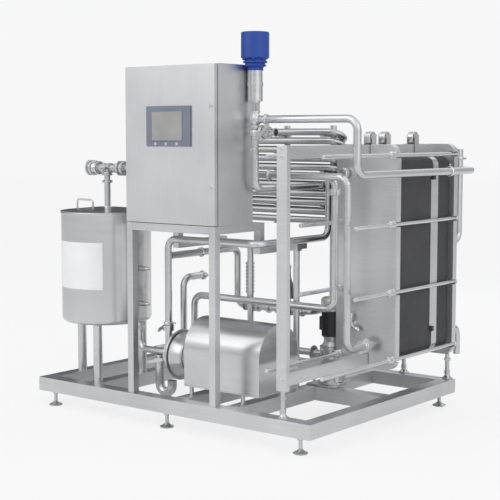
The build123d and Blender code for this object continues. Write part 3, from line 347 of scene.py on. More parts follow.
def roundCircle(count, radius, first=0.0):
    angles = [math.radians(first + 360 * number / count) for number in range(count)]
    return [(radius * math.cos(angle), radius * math.sin(angle)) for angle in angles]


# One block repeated round an axis through the middle
def finsRound(count, box, axis, middle):
    fins = []
    for number in range(count):
        fin = block(*box, 0)
        onlySelect(fin)
        bpy.ops.object.mode_set(mode="EDIT")
        bpy.ops.mesh.select_all(action="SELECT")
        angle = 2 * math.pi * number / count
        bpy.ops.transform.rotate(value=angle, orient_axis=axis, center_override=at(*middle))
        bpy.ops.object.mode_set(mode="OBJECT")
        fins.append(fin)
    return fins


openEnd = [(0, 19), (6, 19), (6, 17.5), (0, 17.5)]
pipeClear = 19.2
clamp = {
    "band": [(0, 4), (0.2, 1.5), (0.28, 0), (0.72, 0), (0.8, 1.5), (1, 4)],
    "wingSink": 3,
    "wing": [(0, 4.5), (9, 4.5), (9, 6.5), (14, 6.5), (15, 3)],
}


# A pipe clamp with a wing nut: the band's stops are shares of its length and what its radius lacks there
def clampRing(start, direction, wing=up, wide=27, length=18):
    band = [(length * share, wide - less) for share, less in clamp["band"]]
    band = [(0, pipeClear)] + band + [(length, pipeClear)]
    side = Vector(wing).normalized()
    middle = Vector(start) + Vector(direction).normalized() * length / 2
    wingStart = middle + side * (wide - clamp["wingSink"])
    return [turnedShell(start, direction, band, 32), turned(wingStart, side, clamp["wing"], 12)]


union = {
    "edge": 3,
    "shoulder": 2,
    "shoulderEnd": 0.3,
    "stepAt": 0.36,
    "lugs": 6,
    "lugRadius": 4,
    "lugFrom": 4,
    "lugEnd": 5,
}


# A union nut with lugs round its wider half
def unionNut(start, direction, wide=32, length=30):
    step = length * union["stepAt"]
    outline = [
        (0, pipeClear),
        (0, wide - union["shoulder"] - union["edge"]),
        (union["edge"], wide - union["shoulder"]),
        (length * union["shoulderEnd"], wide - union["shoulder"]),
        (step, wide),
        (length - union["edge"], wide),
        (length, wide - union["edge"]),
        (length, pipeClear),
    ]
    parts = [turned(start, direction, outline, 36)]
    heading = Vector(direction).normalized()
    side = heading.orthogonal().normalized()
    across = heading.cross(side)
    lugStart = Vector(start) + heading * (step + union["lugFrom"])
    lug = [(0, union["lugRadius"]), (length - step - union["lugFrom"] - union["lugEnd"], union["lugRadius"])]
    for sideways, crossways in roundCircle(union["lugs"], wide - union["lugRadius"]):
        parts.append(turned(lugStart + side * sideways + across * crossways, heading, lug, 8))
    return parts


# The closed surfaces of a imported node, each as its list of faces by corner
def solidsOf(node):
    source = frame["nodes"][node].data
    solids = []
    faces = []
    openEdges = set()
    for polygon in source.polygons:
        places = [source.vertices[index].co for index in polygon.vertices]
        corners = [tuple(round(value, mesh["digits"]) for value in place) for place in places]
        faces.append(corners)
        openEdges ^= {frozenset(edge) for edge in zip(corners, corners[1:] + corners[:1])}
        if not openEdges:
            solids.append(faces)
            faces = []
    return solids


# Each solid gets its broken edges by itself, so that butting ones keep apart
def dressNode(node, edge):
    parts = []
    for faces in solidsOf(node):
        corners = list(dict.fromkeys(corner for face in faces for corner in face))
        numbers = {corner: number for number, corner in enumerate(corners)}
        surface = bpy.data.meshes.new(node)
        surface.from_pydata(corners, [], [[numbers[corner] for corner in face] for face in faces])
        part = bpy.data.objects.new(node, surface)
        bpy.context.scene.collection.objects.link(part)
        onlySelect(part)
        bpy.ops.object.mode_set(mode="EDIT")
        bpy.ops.mesh.select_all(action="SELECT")
        bpy.ops.mesh.dissolve_limited(angle_limit=math.radians(mesh["flatAngle"]))
        bpy.ops.mesh.normals_make_consistent(inside=False)
        bpy.ops.object.mode_set(mode="OBJECT")
        if edge:
            softened(part, edge, mesh["nodeEdgeAngle"])
        parts.append(part)
    finish(joined(node + "_finish", parts), node)


# Frame members, stands and machined blocks keep the solids' shapes with broken edges
edgesOfNodes = {
    "base_frame": 3.0,
    "cabinet_stand": 2.0,
    "coil_rack": 1.0,
    "control_cabinet": 0.8,
    "cabinet_door": 1.6,
    "control_modules": 1.5,
    "tank_legs": 0.8,
    "butterfly_valve_bodies": 0.8,
    "drain_valve_lever": 0.8,
    "delivery_valve_lever": 0.8,
    "divert_valve_lever": 0.8,
    "feed_pump_casing": 1.5,
    "pump_base": 1.0,
    "pump_shroud": 1.2,
    "heat_exchanger_post": 2.5,
    "carrying_bar": 1.5,
    "guide_bar": 1.5,
    "pressure_plate": 2.0,
    "frame_plate": 2.0,
    "roller_brackets": 1.0,
    "spray_ball": 0.0,
    "feed_pump_rotor": 0.0,
    "hot_water_rotor": 0.5,
    "valve_stem": 0.4,
    "valve_cylinder": 0.8,
    "panel_key_1": 1.0,
    "panel_key_2": 1.0,
    "panel_key_3": 1.0,
}
for nodeName, edgeWidth in edgesOfNodes.items():
    dressNode(nodeName, edgeWidth)
print("frame members and blocks dressed")

# Levelling feet under the frame, and the heat exchanger's feet on it
feet = {
    "columns": (95, 935, 1790),
    "rows": (38, 1355),
    "pad": [(0, 33), (2, 36), (6, 36), (9, 30), (14, 20), (20, 14), (24, 9.5), (68, 9.5), (80, 9.5)],
    "lockNutFrom": 66,
    "lockNut": [(0, 14), (1.5, 17), (12, 17), (13.5, 14)],
    "frameTop": 156,
    "plateFeet": ((1685, 38, 131), (1548, 1373, 141), (1828, 1373, 141)),
    "platePad": [(0, 26), (1.5, 28), (6, 28), (9, 22), (18, 15), (24, 12)],
    "spindle": 12,
    "topNutDrop": 40,
    "topNut": [(0, 15), (2, 18), (14, 18), (16, 15)],
    "collarRise": 26,
    "collar": [(0, 12.5), (1, 16), (20, 16), (21, 12.5)],
}
footParts = []
for footX in feet["columns"]:
    for footY in feet["rows"]:
        footParts.append(turned((footX, footY, 0), up, feet["pad"], 32))
        footParts.append(turned((footX, footY, feet["lockNutFrom"]), up, feet["lockNut"], hexagon))
base = feet["frameTop"]
for footX, footY, height in feet["plateFeet"]:
    footParts.append(turned((footX, footY, base), up, feet["platePad"] + [(height, feet["spindle"])], 28))
    footParts.append(turned((footX, footY, base + height - feet["topNutDrop"]), up, feet["topNut"], hexagon))
    footParts.append(turned((footX, footY, base + feet["collarRise"]), up, feet["collar"], 20))
finish(joined("levellingFeet", footParts), "levelling_feet")

# Pipe circuits: a bend radius stands after the stops where it isn't the usual one
tightTurn = 30
closeTurn = 50
hotUnion = {"wide": 30, "length": 22}
circuits = {
    "delivery_line": {
        "main": (tubeRun, [
            (759, 250, 496), (759, 250, 957), (1368, 250, 957), (1368, 869, 957), (1368, 869, 1201.5),
        ]),
        "coilInlet": (tubeRun, [
            (1368, 869, 1201.5), (1368, 869, 1281.5), (1368, 930, 1281.5), (1325, 930, 1281.5),
        ], tightTurn),
        "branch": (tubeRun, [(759, 269, 865), (759, 840, 865), (759, 840, 540), (814, 840, 540)], closeTurn),
        "valveEnd": (turnedShell, (759, 250, 490), up, openEnd, 28),
    },
    "return_line": {
        "main": (tubeRun, [
            (1135, 590, 1297), (1601, 590, 1297), (1601, 590, 612), (648, 590, 612), (648, 590, 323),
            (648, 349, 323),
        ]),
        "relief": (tubeRun, [(566, 780, 702), (566, 590, 702), (566, 590, 323), (566, 349, 323)]),
    },
    "plate_feed_line": {
        "main": (tubeRun, [(1720, 753, 418), (1720, 529, 418), (1720, 529, 1297), (1135, 529, 1297)]),
        "returnBend": (tubeRun, [
            (1135, 529, 1297), (1075, 529, 1297), (1075, 590, 1297), (1135, 590, 1297),
        ], tightTurn),
    },
    "suction_line": {
        "main": (tubeRun, [(468, 330, 470), (468, 330, 323), (738, 330, 323)]),
        "clamp": (clampRing, (468, 330, 430), up, (0.6, -0.8, 0)),
        "union": (unionNut, (678, 330, 323), right, 32, 34),
    },
    "hot_water_line": {
        "toGrid": (tubeRun, [(1150, 840, 540), (1270, 840, 540), (1270, 1201, 540), (1500, 1201, 540)]),
        "fromPump": (tubeRun, [(1290, 840, 318), (1114, 840, 318), (1114, 840, 511)]),
        "betweenValves": (tubeRun, [(886, 840, 540), (1078, 840, 540)]),
    },
}
for number, unionX in enumerate((900, 975, 1040, 1165, 1205)):
    feature = (unionNut, (unionX, 840, 540), right, hotUnion["wide"], hotUnion["length"])
    circuits["hot_water_line"]["union" + str(number)] = feature
for nodeName, features in circuits.items():
    finish(joined(nodeName + "_tubes", made(features)), nodeName)

# Main line with its open rear outlet
mainLine = {
    "forward": (tubeRun, [
        (1371, 278, 1585), (1940, 278, 1585), (1940, 278, 1316), (1940, 1440, 1316), (1867, 1440, 1316),
    ]),
    "upperPort": (tubeRun, [(1848, 1440, 1430), (1848, 1440, 924), (1848, 1385, 924)], closeTurn),
    "lowerPort": (tubeRun, [(1848, 1385, 440), (1848, 1440, 440), (1848, 1440, 330)], closeTurn),
    "outlet": (turnedShell, (1848, 1440, 290), up, [
        (0, 18.5), (0.5, 19), (40, 19), (40, 17.5), (0.5, 17.5), (0, 18),
    ], 28),
}
finish(joined("mainTubes", made(mainLine)), "main_line")

# Drain line with its upturned mouth
drainLine = {
    "valveEnd": (turnedShell, (620, 330, 288), up, openEnd, 28),
    "neck": (turned, (620, 330, 294), up, [(0, 19), (10, 19)], 28),
    "collar": (turnedShell, (620, 330, 254), up, [(0, 25.5), (6, 25.5), (6, 17.5), (0, 17.5)], 32),
    "bend": (tubeRun, [
        (620, 330, 254), (620, 330, 99.9), (710, 330, 99.9), (710, 330, 145.1),
    ], 44.9, 25.5, 28, 12),
    "mouth": (turnedShell, (710, 330, 145), up, [
        (0, 25.5), (24, 25.5), (25, 25), (25, 24.4), (24, 24), (0, 24),
    ], 32),
}
finish(joined("drainBend", made(drainLine)), "drain_line")
print("pipes made")

# Holding coil: flat bends join the rows at the left, and rising or falling ones at the right
coil = {
    "top": 1524,
    "pitch": 48.5,
    "levels": 11,
    "inlet": 5,
    "outlet": 6,
    "outletEnd": 1260,
    "front": 930,
    "back": 1030,
    "left": 520,
    "right": 1325,
    "dropLeft": 400,
    "bottom": 1039,
    "sides": 24,
    "bendSlack": 0.02,
}


def coilTube(rowY, z, end):
    return tubeRun([(coil["left"], rowY, z), (end, rowY, z)], sides=coil["sides"])


def coilBend(x, frontZ, backZ, side):
    front = Vector((x, coil["front"], frontZ))
    rear = Vector((x, coil["back"], backZ))
    span = (rear - front).length
    reach = Vector((side, 0, 0)) * span / 2
    stops = [front, front + reach, rear + reach, rear]
    return tubeRun(stops, span / 2 - coil["bendSlack"], sides=coil["sides"], bendSteps=8)


coilParts = []
for level in range(coil["levels"]):
    levelZ = coil["top"] - level * coil["pitch"]
    frontEnd = coil["outletEnd"] if level == coil["outlet"] else coil["right"]
    coilParts.append(coilTube(coil["front"], levelZ, frontEnd))
    if 0 < level < coil["levels"] - 1:
        coilParts.append(coilTube(coil["back"], levelZ, coil["right"]))
        coilParts.append(coilBend(coil["left"], levelZ, levelZ, -1))
        step = coil["pitch"] if level <= coil["inlet"] else -coil["pitch"]
        coilParts.append(coilBend(coil["right"], levelZ + step, levelZ, 1))
coilParts.append(tubeRun([
    (coil["left"], coil["front"], coil["top"]),
    (coil["dropLeft"], coil["front"], coil["top"]),
    (coil["dropLeft"], coil["front"], coil["bottom"]),
    (coil["left"], coil["front"], coil["bottom"]),
]))
# The coil takes the darker steel, which paints in the shade between its tubes
finish(joined("coilTubes", coilParts), "holding_coil", look="coilSteelPaintedShade")
print("holding coil made")

# Balance tank with its knuckle and rolled rim
tank = {
    "x": 255,
    "y": 290,
    "bottom": 470,
    "radius": 250,
    "knuckle": 28,
    "knuckleSteps": 6,
    "outlet": (0, 40),
    "rim": [(603, 250), (603.5, 253), (605, 254), (613, 254), (614.8, 252.5), (615, 248), (613, 247)],
    "inside": [(28, 247), (10, 240), (4, 222), (3.2, 40)],
    "sides": 96,
}
outside = [tank["outlet"]]
for step in range(tank["knuckleSteps"] + 1):
    angle = math.pi / 2 * step / tank["knuckleSteps"]
    rise = tank["knuckle"] - tank["knuckle"] * math.cos(angle)
    outside.append((rise, tank["radius"] - tank["knuckle"] + tank["knuckle"] * math.sin(angle)))
tankOutline = outside + tank["rim"] + tank["inside"]
tankShell = turned((tank["x"], tank["y"], tank["bottom"]), up, tankOutline, tank["sides"])
finish(tankShell, "balance_tank", angle=40)

# Blank label round a part of the tank
label = {"from": -152, "to": -50, "low": 668, "height": 257, "inner": 250.1, "outer": 250.6}
labelStart = (tank["x"], tank["y"], label["low"])
labelStrip = turnedShell(labelStart, up, [
    (0, label["inner"]),
    (label["height"], label["inner"]),
    (label["height"], label["outer"]),
    (0, label["outer"]),
], tank["sides"])
onlySelect(labelStrip)
bpy.ops.object.mode_set(mode="EDIT")
for edgeName, clearBefore in (("from", True), ("to", False)):
    angle = math.radians(label[edgeName])
    bpy.ops.mesh.select_all(action="SELECT")
    bpy.ops.mesh.bisect(
        plane_co=at(*labelStart),
        plane_no=(-math.sin(angle), math.cos(angle), 0),
        use_fill=True,
        clear_inner=clearBefore,
        clear_outer=not clearBefore,
    )
closeRing(filled=False)
labelStrip.name = "blankLabel"
finish(labelStrip, "balance_tank", look="blankLabel", replace=False)

# Tank lid with its pipe guide and wire handle
lid = {
    "plate": (turnedShell, (255, 290, 1085.3), up, [
        (0, 251), (1, 252), (3, 252), (4, 249), (20.2, 70), (20.9, 60), (21, 41), (18, 41), (17.6, 60),
        (0, 245),
    ], 96),
    "guide": (turnedShell, (268, 290, 1101.3), up, [
        (0, 17.4), (0, 42), (5, 45), (5.5, 26), (9, 24), (9, 17.4),
    ], 40),
    "handle": (tubeRun, [(25, 290, 1089), (25, 290, 1142), (150, 290, 1142), (150, 290, 1101)], 15, 5, 16, 6),
    "leftPad": (turned, (25, 290, 1087.5), up, [(0, 11), (3, 11), (4, 6)], 20),
    "rightPad": (turned, (150, 290, 1099.5), up, [(0, 11), (3, 11), (4, 6)], 20),
}
finish(joined("lidPlate", made(lid)), "tank_lid")

# Level probes
probe = {
    "y": 285,
    "heights": (585, 779),
    "parts": (
        (505, [(0, 12), (1, 14), (10, 14), (10, 11), (14, 11)], 24),
        (519, [(0, 14), (1.5, 16), (18.5, 16), (20, 14)], hexagon),
        (539, [(0, 11), (2, 12), (26, 12), (28, 10), (30, 9), (46, 6), (48, 4)], 24),
    ),
}
probeParts = []
for probeZ in probe["heights"]:
    for probeX, outline, sides in probe["parts"]:
        probeParts.append(turned((probeX, probe["y"], probeZ), right, outline, sides))
finish(joined("probeBodies", probeParts), "level_probes")
print("tank made")

# Filling line, its cross fittings and hangers
fillingLine = {
    "header": (tubeRun, [(210, 290, 1324), (545, 290, 1324), (545, 400, 1324), (880, 400, 1324)], closeTurn),
    "dipPipe": (turned, (268, 290, 985), up, [(0, 17), (320, 17)], 28),
    "leftFlanges": (turned, (130, 290, 1324), right, [
        (0, 30), (0, 40), (2, 43.5), (12, 43.5), (14, 40), (14, 34), (26, 34), (28, 43), (40, 43), (42, 34),
        (58, 30), (66, 30), (68, 38), (78, 38), (80, 30),
    ], 36),
    "cross": (turned, (236, 290, 1324), right, [
        (0, 22), (2, 29), (12, 29), (16, 25), (48, 25), (52, 29), (62, 29), (64, 22),
    ], 32),
    "rightFlanges": (turned, (365, 290, 1324), right, [
        (0, 22), (0, 38), (3, 41), (14, 41), (16, 30), (28, 30), (30, 41), (41, 41), (44, 38), (44, 22),
    ], 36),
    "crossFoot": (turned, (268, 290, 1282), up, [(0, 22), (2, 29), (10, 29), (12, 24), (24, 22)], 32),
    "lowerCollar": (turned, (268, 290, 1240), up, [(0, 20), (3, 29), (14, 29), (17, 20)], 32),
    "plug": (turned, (268, 262, 1324), ahead, [
        (0, 16), (12, 16), (13, 20), (20, 20), (21, 9), (34, 9),
    ], 24),
    "leftClamp": (clampRing, (329, 290, 1324), right, ahead, 27, 14),
    "rightClamp": (clampRing, (351, 290, 1324), right, ahead, 27, 14),
    "leftHanger": (block, 748, 772, 312, 373, 1309, 1339, 1.5),
    "leftHangerClamp": (clampRing, (751, 400, 1324), right),
    "rightHanger": (block, 838, 862, 312, 373, 1309, 1339, 1.5),
    "rightHangerClamp": (clampRing, (841, 400, 1324), right),
}
finish(joined("fillingTubes", made(fillingLine)), "filling_line")

# Feed pump: adapter cone with its bolts, and the finned motor with its fan cowl
pump = {
    "y": 330,
    "z": 323,
    "cone": [
        (0, 100), (0, 136), (2, 138), (10, 138), (12, 136), (12, 120), (16, 116), (40, 103), (72, 95),
        (72, 20),
    ],
    "boltsFrom": 771,
    "boltCircle": 127,
    "bolt": [(0, 6), (1, 7.5), (7, 7.5)],
    "fins": 40,
    "finBox": (868, 1168, 329, 331, 411, 426.5),
}
adapterParts = [turned((778, pump["y"], pump["z"]), right, pump["cone"], 64)]
for along, above in roundCircle(8, pump["boltCircle"], 22.5):
    boltPlace = (pump["boltsFrom"], pump["y"] + along, pump["z"] + above)
    adapterParts.append(turned(boltPlace, right, pump["bolt"], hexagon))
finish(joined("adapterCone", adapterParts), "pump_adapter")
motor = {
    "body": (turned, (850, 330, 323), right, [
        (0, 30), (0, 96), (4, 98), (14, 98), (16, 92), (320, 92), (322, 98), (330, 98), (330, 30),
    ], 56),
    "cowl": (turnedShell, (1180, 330, 323), right, [
        (0, 98), (0, 109), (2, 110), (104, 110), (112, 106), (120, 96), (120, 45), (117, 45), (117, 92),
        (104, 106), (4, 107),
    ], 56),
    "fins": (finsRound, pump["fins"], pump["finBox"], "X", (1000, 330, 323)),
    "terminalBox": (block, 960, 1060, 300, 360, 420, 455, 4),
    "leftFoot": (block, 965, 1015, 255, 405, 205, 236, 2),
    "rightFoot": (block, 1115, 1165, 255, 405, 205, 236, 2),
}
finish(joined("motorBody", made(motor)), "feed_pump_motor")
print("feed pump made")

# Diversion valve: stacked ball bodies with their stubs
valve = {
    "body": (turned, (1327, 278, 1493), up, [
        (0, 19), (4, 20), (10, 27), (18, 30), (30, 30), (38, 27), (44, 21), (50, 21), (50, 28), (52, 30),
        (60, 30), (62, 28), (62, 21), (68, 23), (74, 29), (84, 31), (98, 31), (108, 29), (116, 23), (120, 22),
        (126, 22),
    ], 40),
    "forwardStub": (turned, (1350, 278, 1585), right, [(0, 19), (21, 19)], 28),
    "divertStub": (turned, (1350, 278, 1520), right, [(0, 19), (34, 19)], 28),
    "divertValveEnd": (turnedShell, (1384, 278, 1520), right, openEnd, 28),
    "toCoil": (tubeRun, [
        (1327, 278, 1493), (1327, 278, 1233), (1327, 930, 1233), (1260, 930, 1233),
    ], closeTurn),
    "divertOutlet": (turnedShell, (1418, 278, 1520), right, [
        (0, 19), (36, 19), (36, 22), (40, 22), (40, 17.5), (0, 17.5),
    ], 28),
}
finish(joined("valveBody", made(valve)), "diversion_valve_body")

# Blue control head with its ribbed neck and cable glands
head = {
    "x": 1327,
    "y": 278,
    "bottom": 1828,
    "outline": [
        (0, 38.3), (0, 41), (15, 41), (19, 50), (23, 56), (28, 56), (30, 50), (35, 50), (37, 58), (40, 61),
        (46, 61), (48, 54), (53, 54), (56, 62), (60, 66), (64, 70.9), (186, 70.9), (189, 69), (190.5, 66),
        (190.5, 40),
    ],
    "glandAngles": (200, 250, 300, 350),
    "glandCircle": 60,
    "glandsFrom": 1880,
    "gland": [(0, 5), (4, 8), (16, 8), (18, 6)],
}
headParts = [turned((head["x"], head["y"], head["bottom"]), up, head["outline"], 64)]
for glandAngle in head["glandAngles"]:
    glandX = head["x"] + head["glandCircle"] * math.cos(math.radians(glandAngle))
    glandY = head["y"] + head["glandCircle"] * math.sin(math.radians(glandAngle))
    headParts.append(turned((glandX, glandY, head["glandsFrom"]), up, head["gland"], 16))
finish(joined("valveHead", headParts), "valve_control_head")
print("diversion valve made")

# Unions, clamps and port fittings
port = {"x": 1556, "z": 1308, "boltsFrom": 741, "boltCircle": 28.5, "bolt": [(0, 4), (22, 4)]}
fittings = {
    "deliveryClamp": (clampRing, (759, 250, 491), up, (0.7, 0.7, 0)),
    "returnUnion": (unionNut, (1601, 590, 1200), up, 32, 34),
    "mainClamp": (clampRing, (1940, 1160, 1316), back),
    "forwardClamp": (clampRing, (1389, 278, 1585), right, ahead),
    "coilClamp": (clampRing, (1327, 278, 1423), up, ahead),
    "feedClamp": (clampRing, (1215, 529, 1297), right, ahead),
    "branchClamp": (clampRing, (759, 510, 865), back, right),
    "rearClamp": (clampRing, (1848, 1440, 1370), up, right),
    "coilInletClamp": (clampRing, (1325, 930, 1281.5), right, ahead, 25, 12),
    "reliefClamp": (clampRing, (566, 750, 702), back, right),
    "divertCollar": (turned, (1369, 278, 1520), right, [
        (0, 19.2), (0, 35), (2, 37.5), (13, 37.5), (15, 35), (16, 30), (16, 19.2),
    ], 36),
    "handWheelBoss": (turned, (1612, 753, 520), ahead, [(0, 18), (3, 18), (6, 16), (17, 15), (17, 7)], 28),
    "plateUnion": (unionNut, (1720, 660, 418), back, 40, 45),
    "sparePort": (turnedShell, (port["x"], 753, port["z"]), ahead, [
        (0, 17.5), (0, 26), (8, 24), (10, 31), (16, 32), (34, 32), (37, 29), (40, 28), (40, 17.5),
    ], 36),
}
fittingParts = made(fittings)
for aside, above in roundCircle(6, port["boltCircle"]):
    boltPlace = (port["x"] + aside, port["boltsFrom"], port["z"] + above)
    fittingParts.append(turned(boltPlace, ahead, port["bolt"], 8))
finish(joined("unionsAndClamps", fittingParts), "unions_and_clamps")

# Plate packs: thin plates repeated along a slightly smaller core
pack = {
    "left": 1535,
    "right": 1835,
    "bottom": 342,
    "top": 1390,
    "corner": 45,
    "cornerSteps": 5,
    "pitch": 3.5,
    "plate": 2.1,
    "firstPlate": 0.6,
    "coreInset": 3.0,
    "railSlot": (1663.5, 1706.5, 740, 1400, 330, 376.5),
    "packs": (("plate_pack_front", 793, 382), ("plate_pack_rear", 1228, 117)),
    "flatMetres": 0.0001,
}


def plateOutline(front, thick, inset):
    piece = block(
        pack["left"] + inset,
        pack["right"] - inset,
        front,
        front + thick,
        pack["bottom"] + inset,
        pack["top"] - inset,
        0,
    )
    bpy.ops.object.mode_set(mode="EDIT")
    bpy.ops.mesh.select_mode(type="EDGE")
    bpy.ops.mesh.select_all(action="DESELECT")
    bpy.ops.object.mode_set(mode="OBJECT")
    for edge in piece.data.edges:
        one, two = (piece.data.vertices[corner].co for corner in edge.vertices)
        edge.select = abs(one.y - two.y) > pack["flatMetres"]
    bpy.ops.object.mode_set(mode="EDIT")
    bpy.ops.mesh.bevel(offset=(pack["corner"] - inset) / 1000, segments=pack["cornerSteps"])
    bpy.ops.object.mode_set(mode="OBJECT")
    cutAway(piece, block(*pack["railSlot"], 0))
    return piece


for packNode, packFront, packDepth in pack["packs"]:
    plate = plateOutline(packFront + pack["firstPlate"], pack["plate"], 0)
    repeat = plate.modifiers.new("repeat", "ARRAY")
    repeat.use_relative_offset = False
    repeat.use_constant_offset = True
    repeat.constant_offset_displace = (0, pack["pitch"] / 1000, 0)
    repeat.count = int(packDepth / pack["pitch"])
    onlySelect(plate)
    bpy.ops.object.modifier_apply(modifier=repeat.name)
    core = plateOutline(packFront, packDepth, pack["coreInset"])
    finish(joined(packNode + "_plates", [plate, core]), packNode, angle=30)

# Connecting grid with the packs' own outline, hung from its roller by two cheeks
grid = {
    "plate": (plateOutline, 1175, 53, -2),
    "leftCheek": (block, 1657, 1663, 1194, 1228, 1384, 1460, 0.8),
    "rightCheek": (block, 1707, 1713, 1194, 1228, 1384, 1460, 0.8),
}
finish(joined("connectingGrid", made(grid)), "connecting_grid")
print("plate packs made")

# Tie rods with sleeve nuts and back nuts
rods = {
    "columns": (1520, 1850),
    "frontsByHeight": {352: 120, 702: 400, 1052: 400, 1404: 120},
    "end": 1410,
    "radius": 11,
    "tip": 9,
    "taper": 2,
    "sleeveFrom": 700,
    "sleeve": [
        (0, 11.1), (0, 14), (6, 17), (12, 17), (13, 20), (38, 20), (39, 17), (44, 17), (46, 20), (53, 20),
        (53, 11.1),
    ],
    "backNutFrom": 1385,
    "backNut": [(0, 11.1), (0, 19), (1.5, 20.5), (14.5, 20.5), (16, 19), (16, 11.1)],
}
rodParts = []
nutParts = []
for rodX in rods["columns"]:
    for rodZ, rodFront in rods["frontsByHeight"].items():
        length = rods["end"] - rodFront
        rodOutline = [
            (0, rods["tip"]), (rods["taper"], rods["radius"]),
            (length - rods["taper"], rods["radius"]), (length, rods["tip"]),
        ]
        rodParts.append(turned((rodX, rodFront, rodZ), back, rodOutline, 24))
        nutParts.append(turned((rodX, rods["sleeveFrom"], rodZ), back, rods["sleeve"], 28))
        nutParts.append(turned((rodX, rods["backNutFrom"], rodZ), back, rods["backNut"], hexagon))
finish(joined("tieRods", rodParts), "tie_rods")
finish(joined("tieRodNuts", nutParts), "tie_rod_nuts")

# Rollers
rollers = {
    "x": 1668,
    "z": 1492.3,
    "rows": (785, 925, 1212),
    "outline": [
        (0, 8.05), (0, 16), (2, 17), (2, 27), (0, 29), (0, 32), (2, 34), (32, 34), (34, 32), (34, 29),
        (32, 27), (32, 17), (34, 16), (34, 8.05),
    ],
}
for number, rollerY in enumerate(rollers["rows"], 1):
    roller = turnedShell((rollers["x"], rollerY, rollers["z"]), right, rollers["outline"], 48)
    roller.name = "roller" + str(number)
    finish(roller, "roller_" + str(number))

# Edge strips and their end blocks beside the pack
strips = {
    "sides": ((-1, pack["left"]), (1, pack["right"])),
    "rows": (805, 1163),
    "thick": 3,
    "halfWidth": 10,
    "bottom": 480,
    "top": 1270,
    "blockThick": 20,
    "blockHalfWidth": 11,
    "blockBottoms": (452, 1270),
    "blockHeight": 28,
}
stripParts = []
blockParts = []
for side, packEdge in strips["sides"]:
    for stripY in strips["rows"]:
        low, high = sorted((packEdge, packEdge + side * strips["thick"]))
        front = stripY - strips["halfWidth"]
        rear = stripY + strips["halfWidth"]
        stripParts.append(block(low, high, front, rear, strips["bottom"], strips["top"], 0.6))
        low, high = sorted((packEdge, packEdge + side * strips["blockThick"]))
        front = stripY - strips["blockHalfWidth"]
        rear = stripY + strips["blockHalfWidth"]
        for blockZ in strips["blockBottoms"]:
            blockParts.append(block(low, high, front, rear, blockZ, blockZ + strips["blockHeight"], 3))
finish(joined("edgeStrips", stripParts), "edge_strips", look="satin_steel")
finish(joined("edgeBlocks", blockParts), "edge_strips", replace=False)

# Hand wheel with its three arms
wheel = {
    "hub": (turned, (1612, 719, 520), back, [(0, 9), (2, 12), (4, 13), (14, 13), (16, 12)], 28),
    "shaft": (turned, (1612, 734, 520), back, [(0, 6), (15, 6)], 20),
}
wheelArm = {
    "middle": (1612, 726.5, 520),
    "from": 11,
    "outline": [(0, 7), (14, 7), (20, 9), (26, 11.5), (40, 11.5), (46, 9), (49.5, 5)],
}
wheelParts = made(wheel)
for toLeft, rise in roundCircle(3, 1, 90):
    outward = Vector((-toLeft, 0, rise))
    armStart = Vector(wheelArm["middle"]) + outward * wheelArm["from"]
    wheelParts.append(turned(armStart, outward, wheelArm["outline"], 20))
finish(joined("handWheel", wheelParts), "hand_wheel")

# Touch panel: bezel with its key holes, back box, inner frame and screen
panel = {
    "backBox": (block, 848.5, 1120.5, 12, 62, 1462.5, 1640.5, 1),
    "frameBottom": (block, 869, 1085, 1.2, 4, 1475, 1481, 0.8),
    "frameTop": (block, 869, 1085, 1.2, 4, 1625, 1631, 0.8),
    "frameLeft": (block, 869, 875, 1.2, 4, 1481, 1625, 0.8),
    "frameRight": (block, 1079, 1085, 1.2, 4, 1481, 1625, 0.8),
}
panelKeys = {"columns": (901, 973, 1045), "z": 1463, "hole": [(0, 8.4), (12, 8.4)]}
bezel = block(836, 1133, 3, 12, 1450, 1653, 3)
holes = [turned((keyX, 0, panelKeys["z"]), back, panelKeys["hole"], 32) for keyX in panelKeys["columns"]]
cutAway(bezel, joined("keyHoles", holes))
finish(joined("panelBezel", [bezel] + made(panel)), "touch_panel")
screen = block(875, 1079, 2.2, 4, 1481, 1625, 0.4)
screen.name = "screen"
finish(screen, "touch_panel", look="screenGlass", replace=False)
print("panel made")

# Bolts on the front post and locks on the door
postBolt = {"x": 1685, "y": 23, "heights": (1440, 1404, 345), "outline": [(0, 9), (4, 9), (5, 8)]}
boltParts = []
for boltZ in postBolt["heights"]:
    boltParts.append(turned((postBolt["x"], postBolt["y"], boltZ), ahead, postBolt["outline"], hexagon))
finish(joined("postBolts", boltParts), "heat_exchanger_post", look="fitting_steel", replace=False)
locks = {
    "lower": (turned, (1262, 12, 1250), ahead, [(0, 11), (1.5, 11), (3, 9)], 28),
    "upper": (turned, (1262, 12, 1650), ahead, [(0, 11), (1.5, 11), (3, 9)], 28),
}
finish(joined("doorLocks", made(locks)), "cabinet_door", look="fitting_steel", replace=False)

# Hot water pump with its tie rods, and its ribbed black motor
waterPump = {
    "base": (block, 1310, 1500, 750, 900, 156, 166, 1.5),
    "stages": (turned, (1422, 840, 166), up, [
        (0, 30), (0, 74), (2, 76), (12, 76), (14, 64), (20, 62), (96, 62), (100, 66), (112, 66), (114, 58),
        (120, 56), (186, 56), (190, 70), (204, 70), (208, 60), (230, 48), (250, 52), (254, 56), (259, 56),
        (259, 20),
    ], 48),
    "inlet": (turned, (1290, 840, 318), right, [
        (0, 24), (0, 38), (2, 40), (8, 40), (10, 30), (14, 19), (72, 19),
    ], 36),
}
waterRod = {"x": 1422, "y": 840, "z": 178, "circle": 66, "outline": [(0, 5), (180, 5)]}
waterParts = made(waterPump)
for aside, behindIt in roundCircle(4, waterRod["circle"], 45):
    rodPlace = (waterRod["x"] + aside, waterRod["y"] + behindIt, waterRod["z"])
    waterParts.append(turned(rodPlace, up, waterRod["outline"], 12))
finish(joined("waterPump", waterParts), "hot_water_pump")
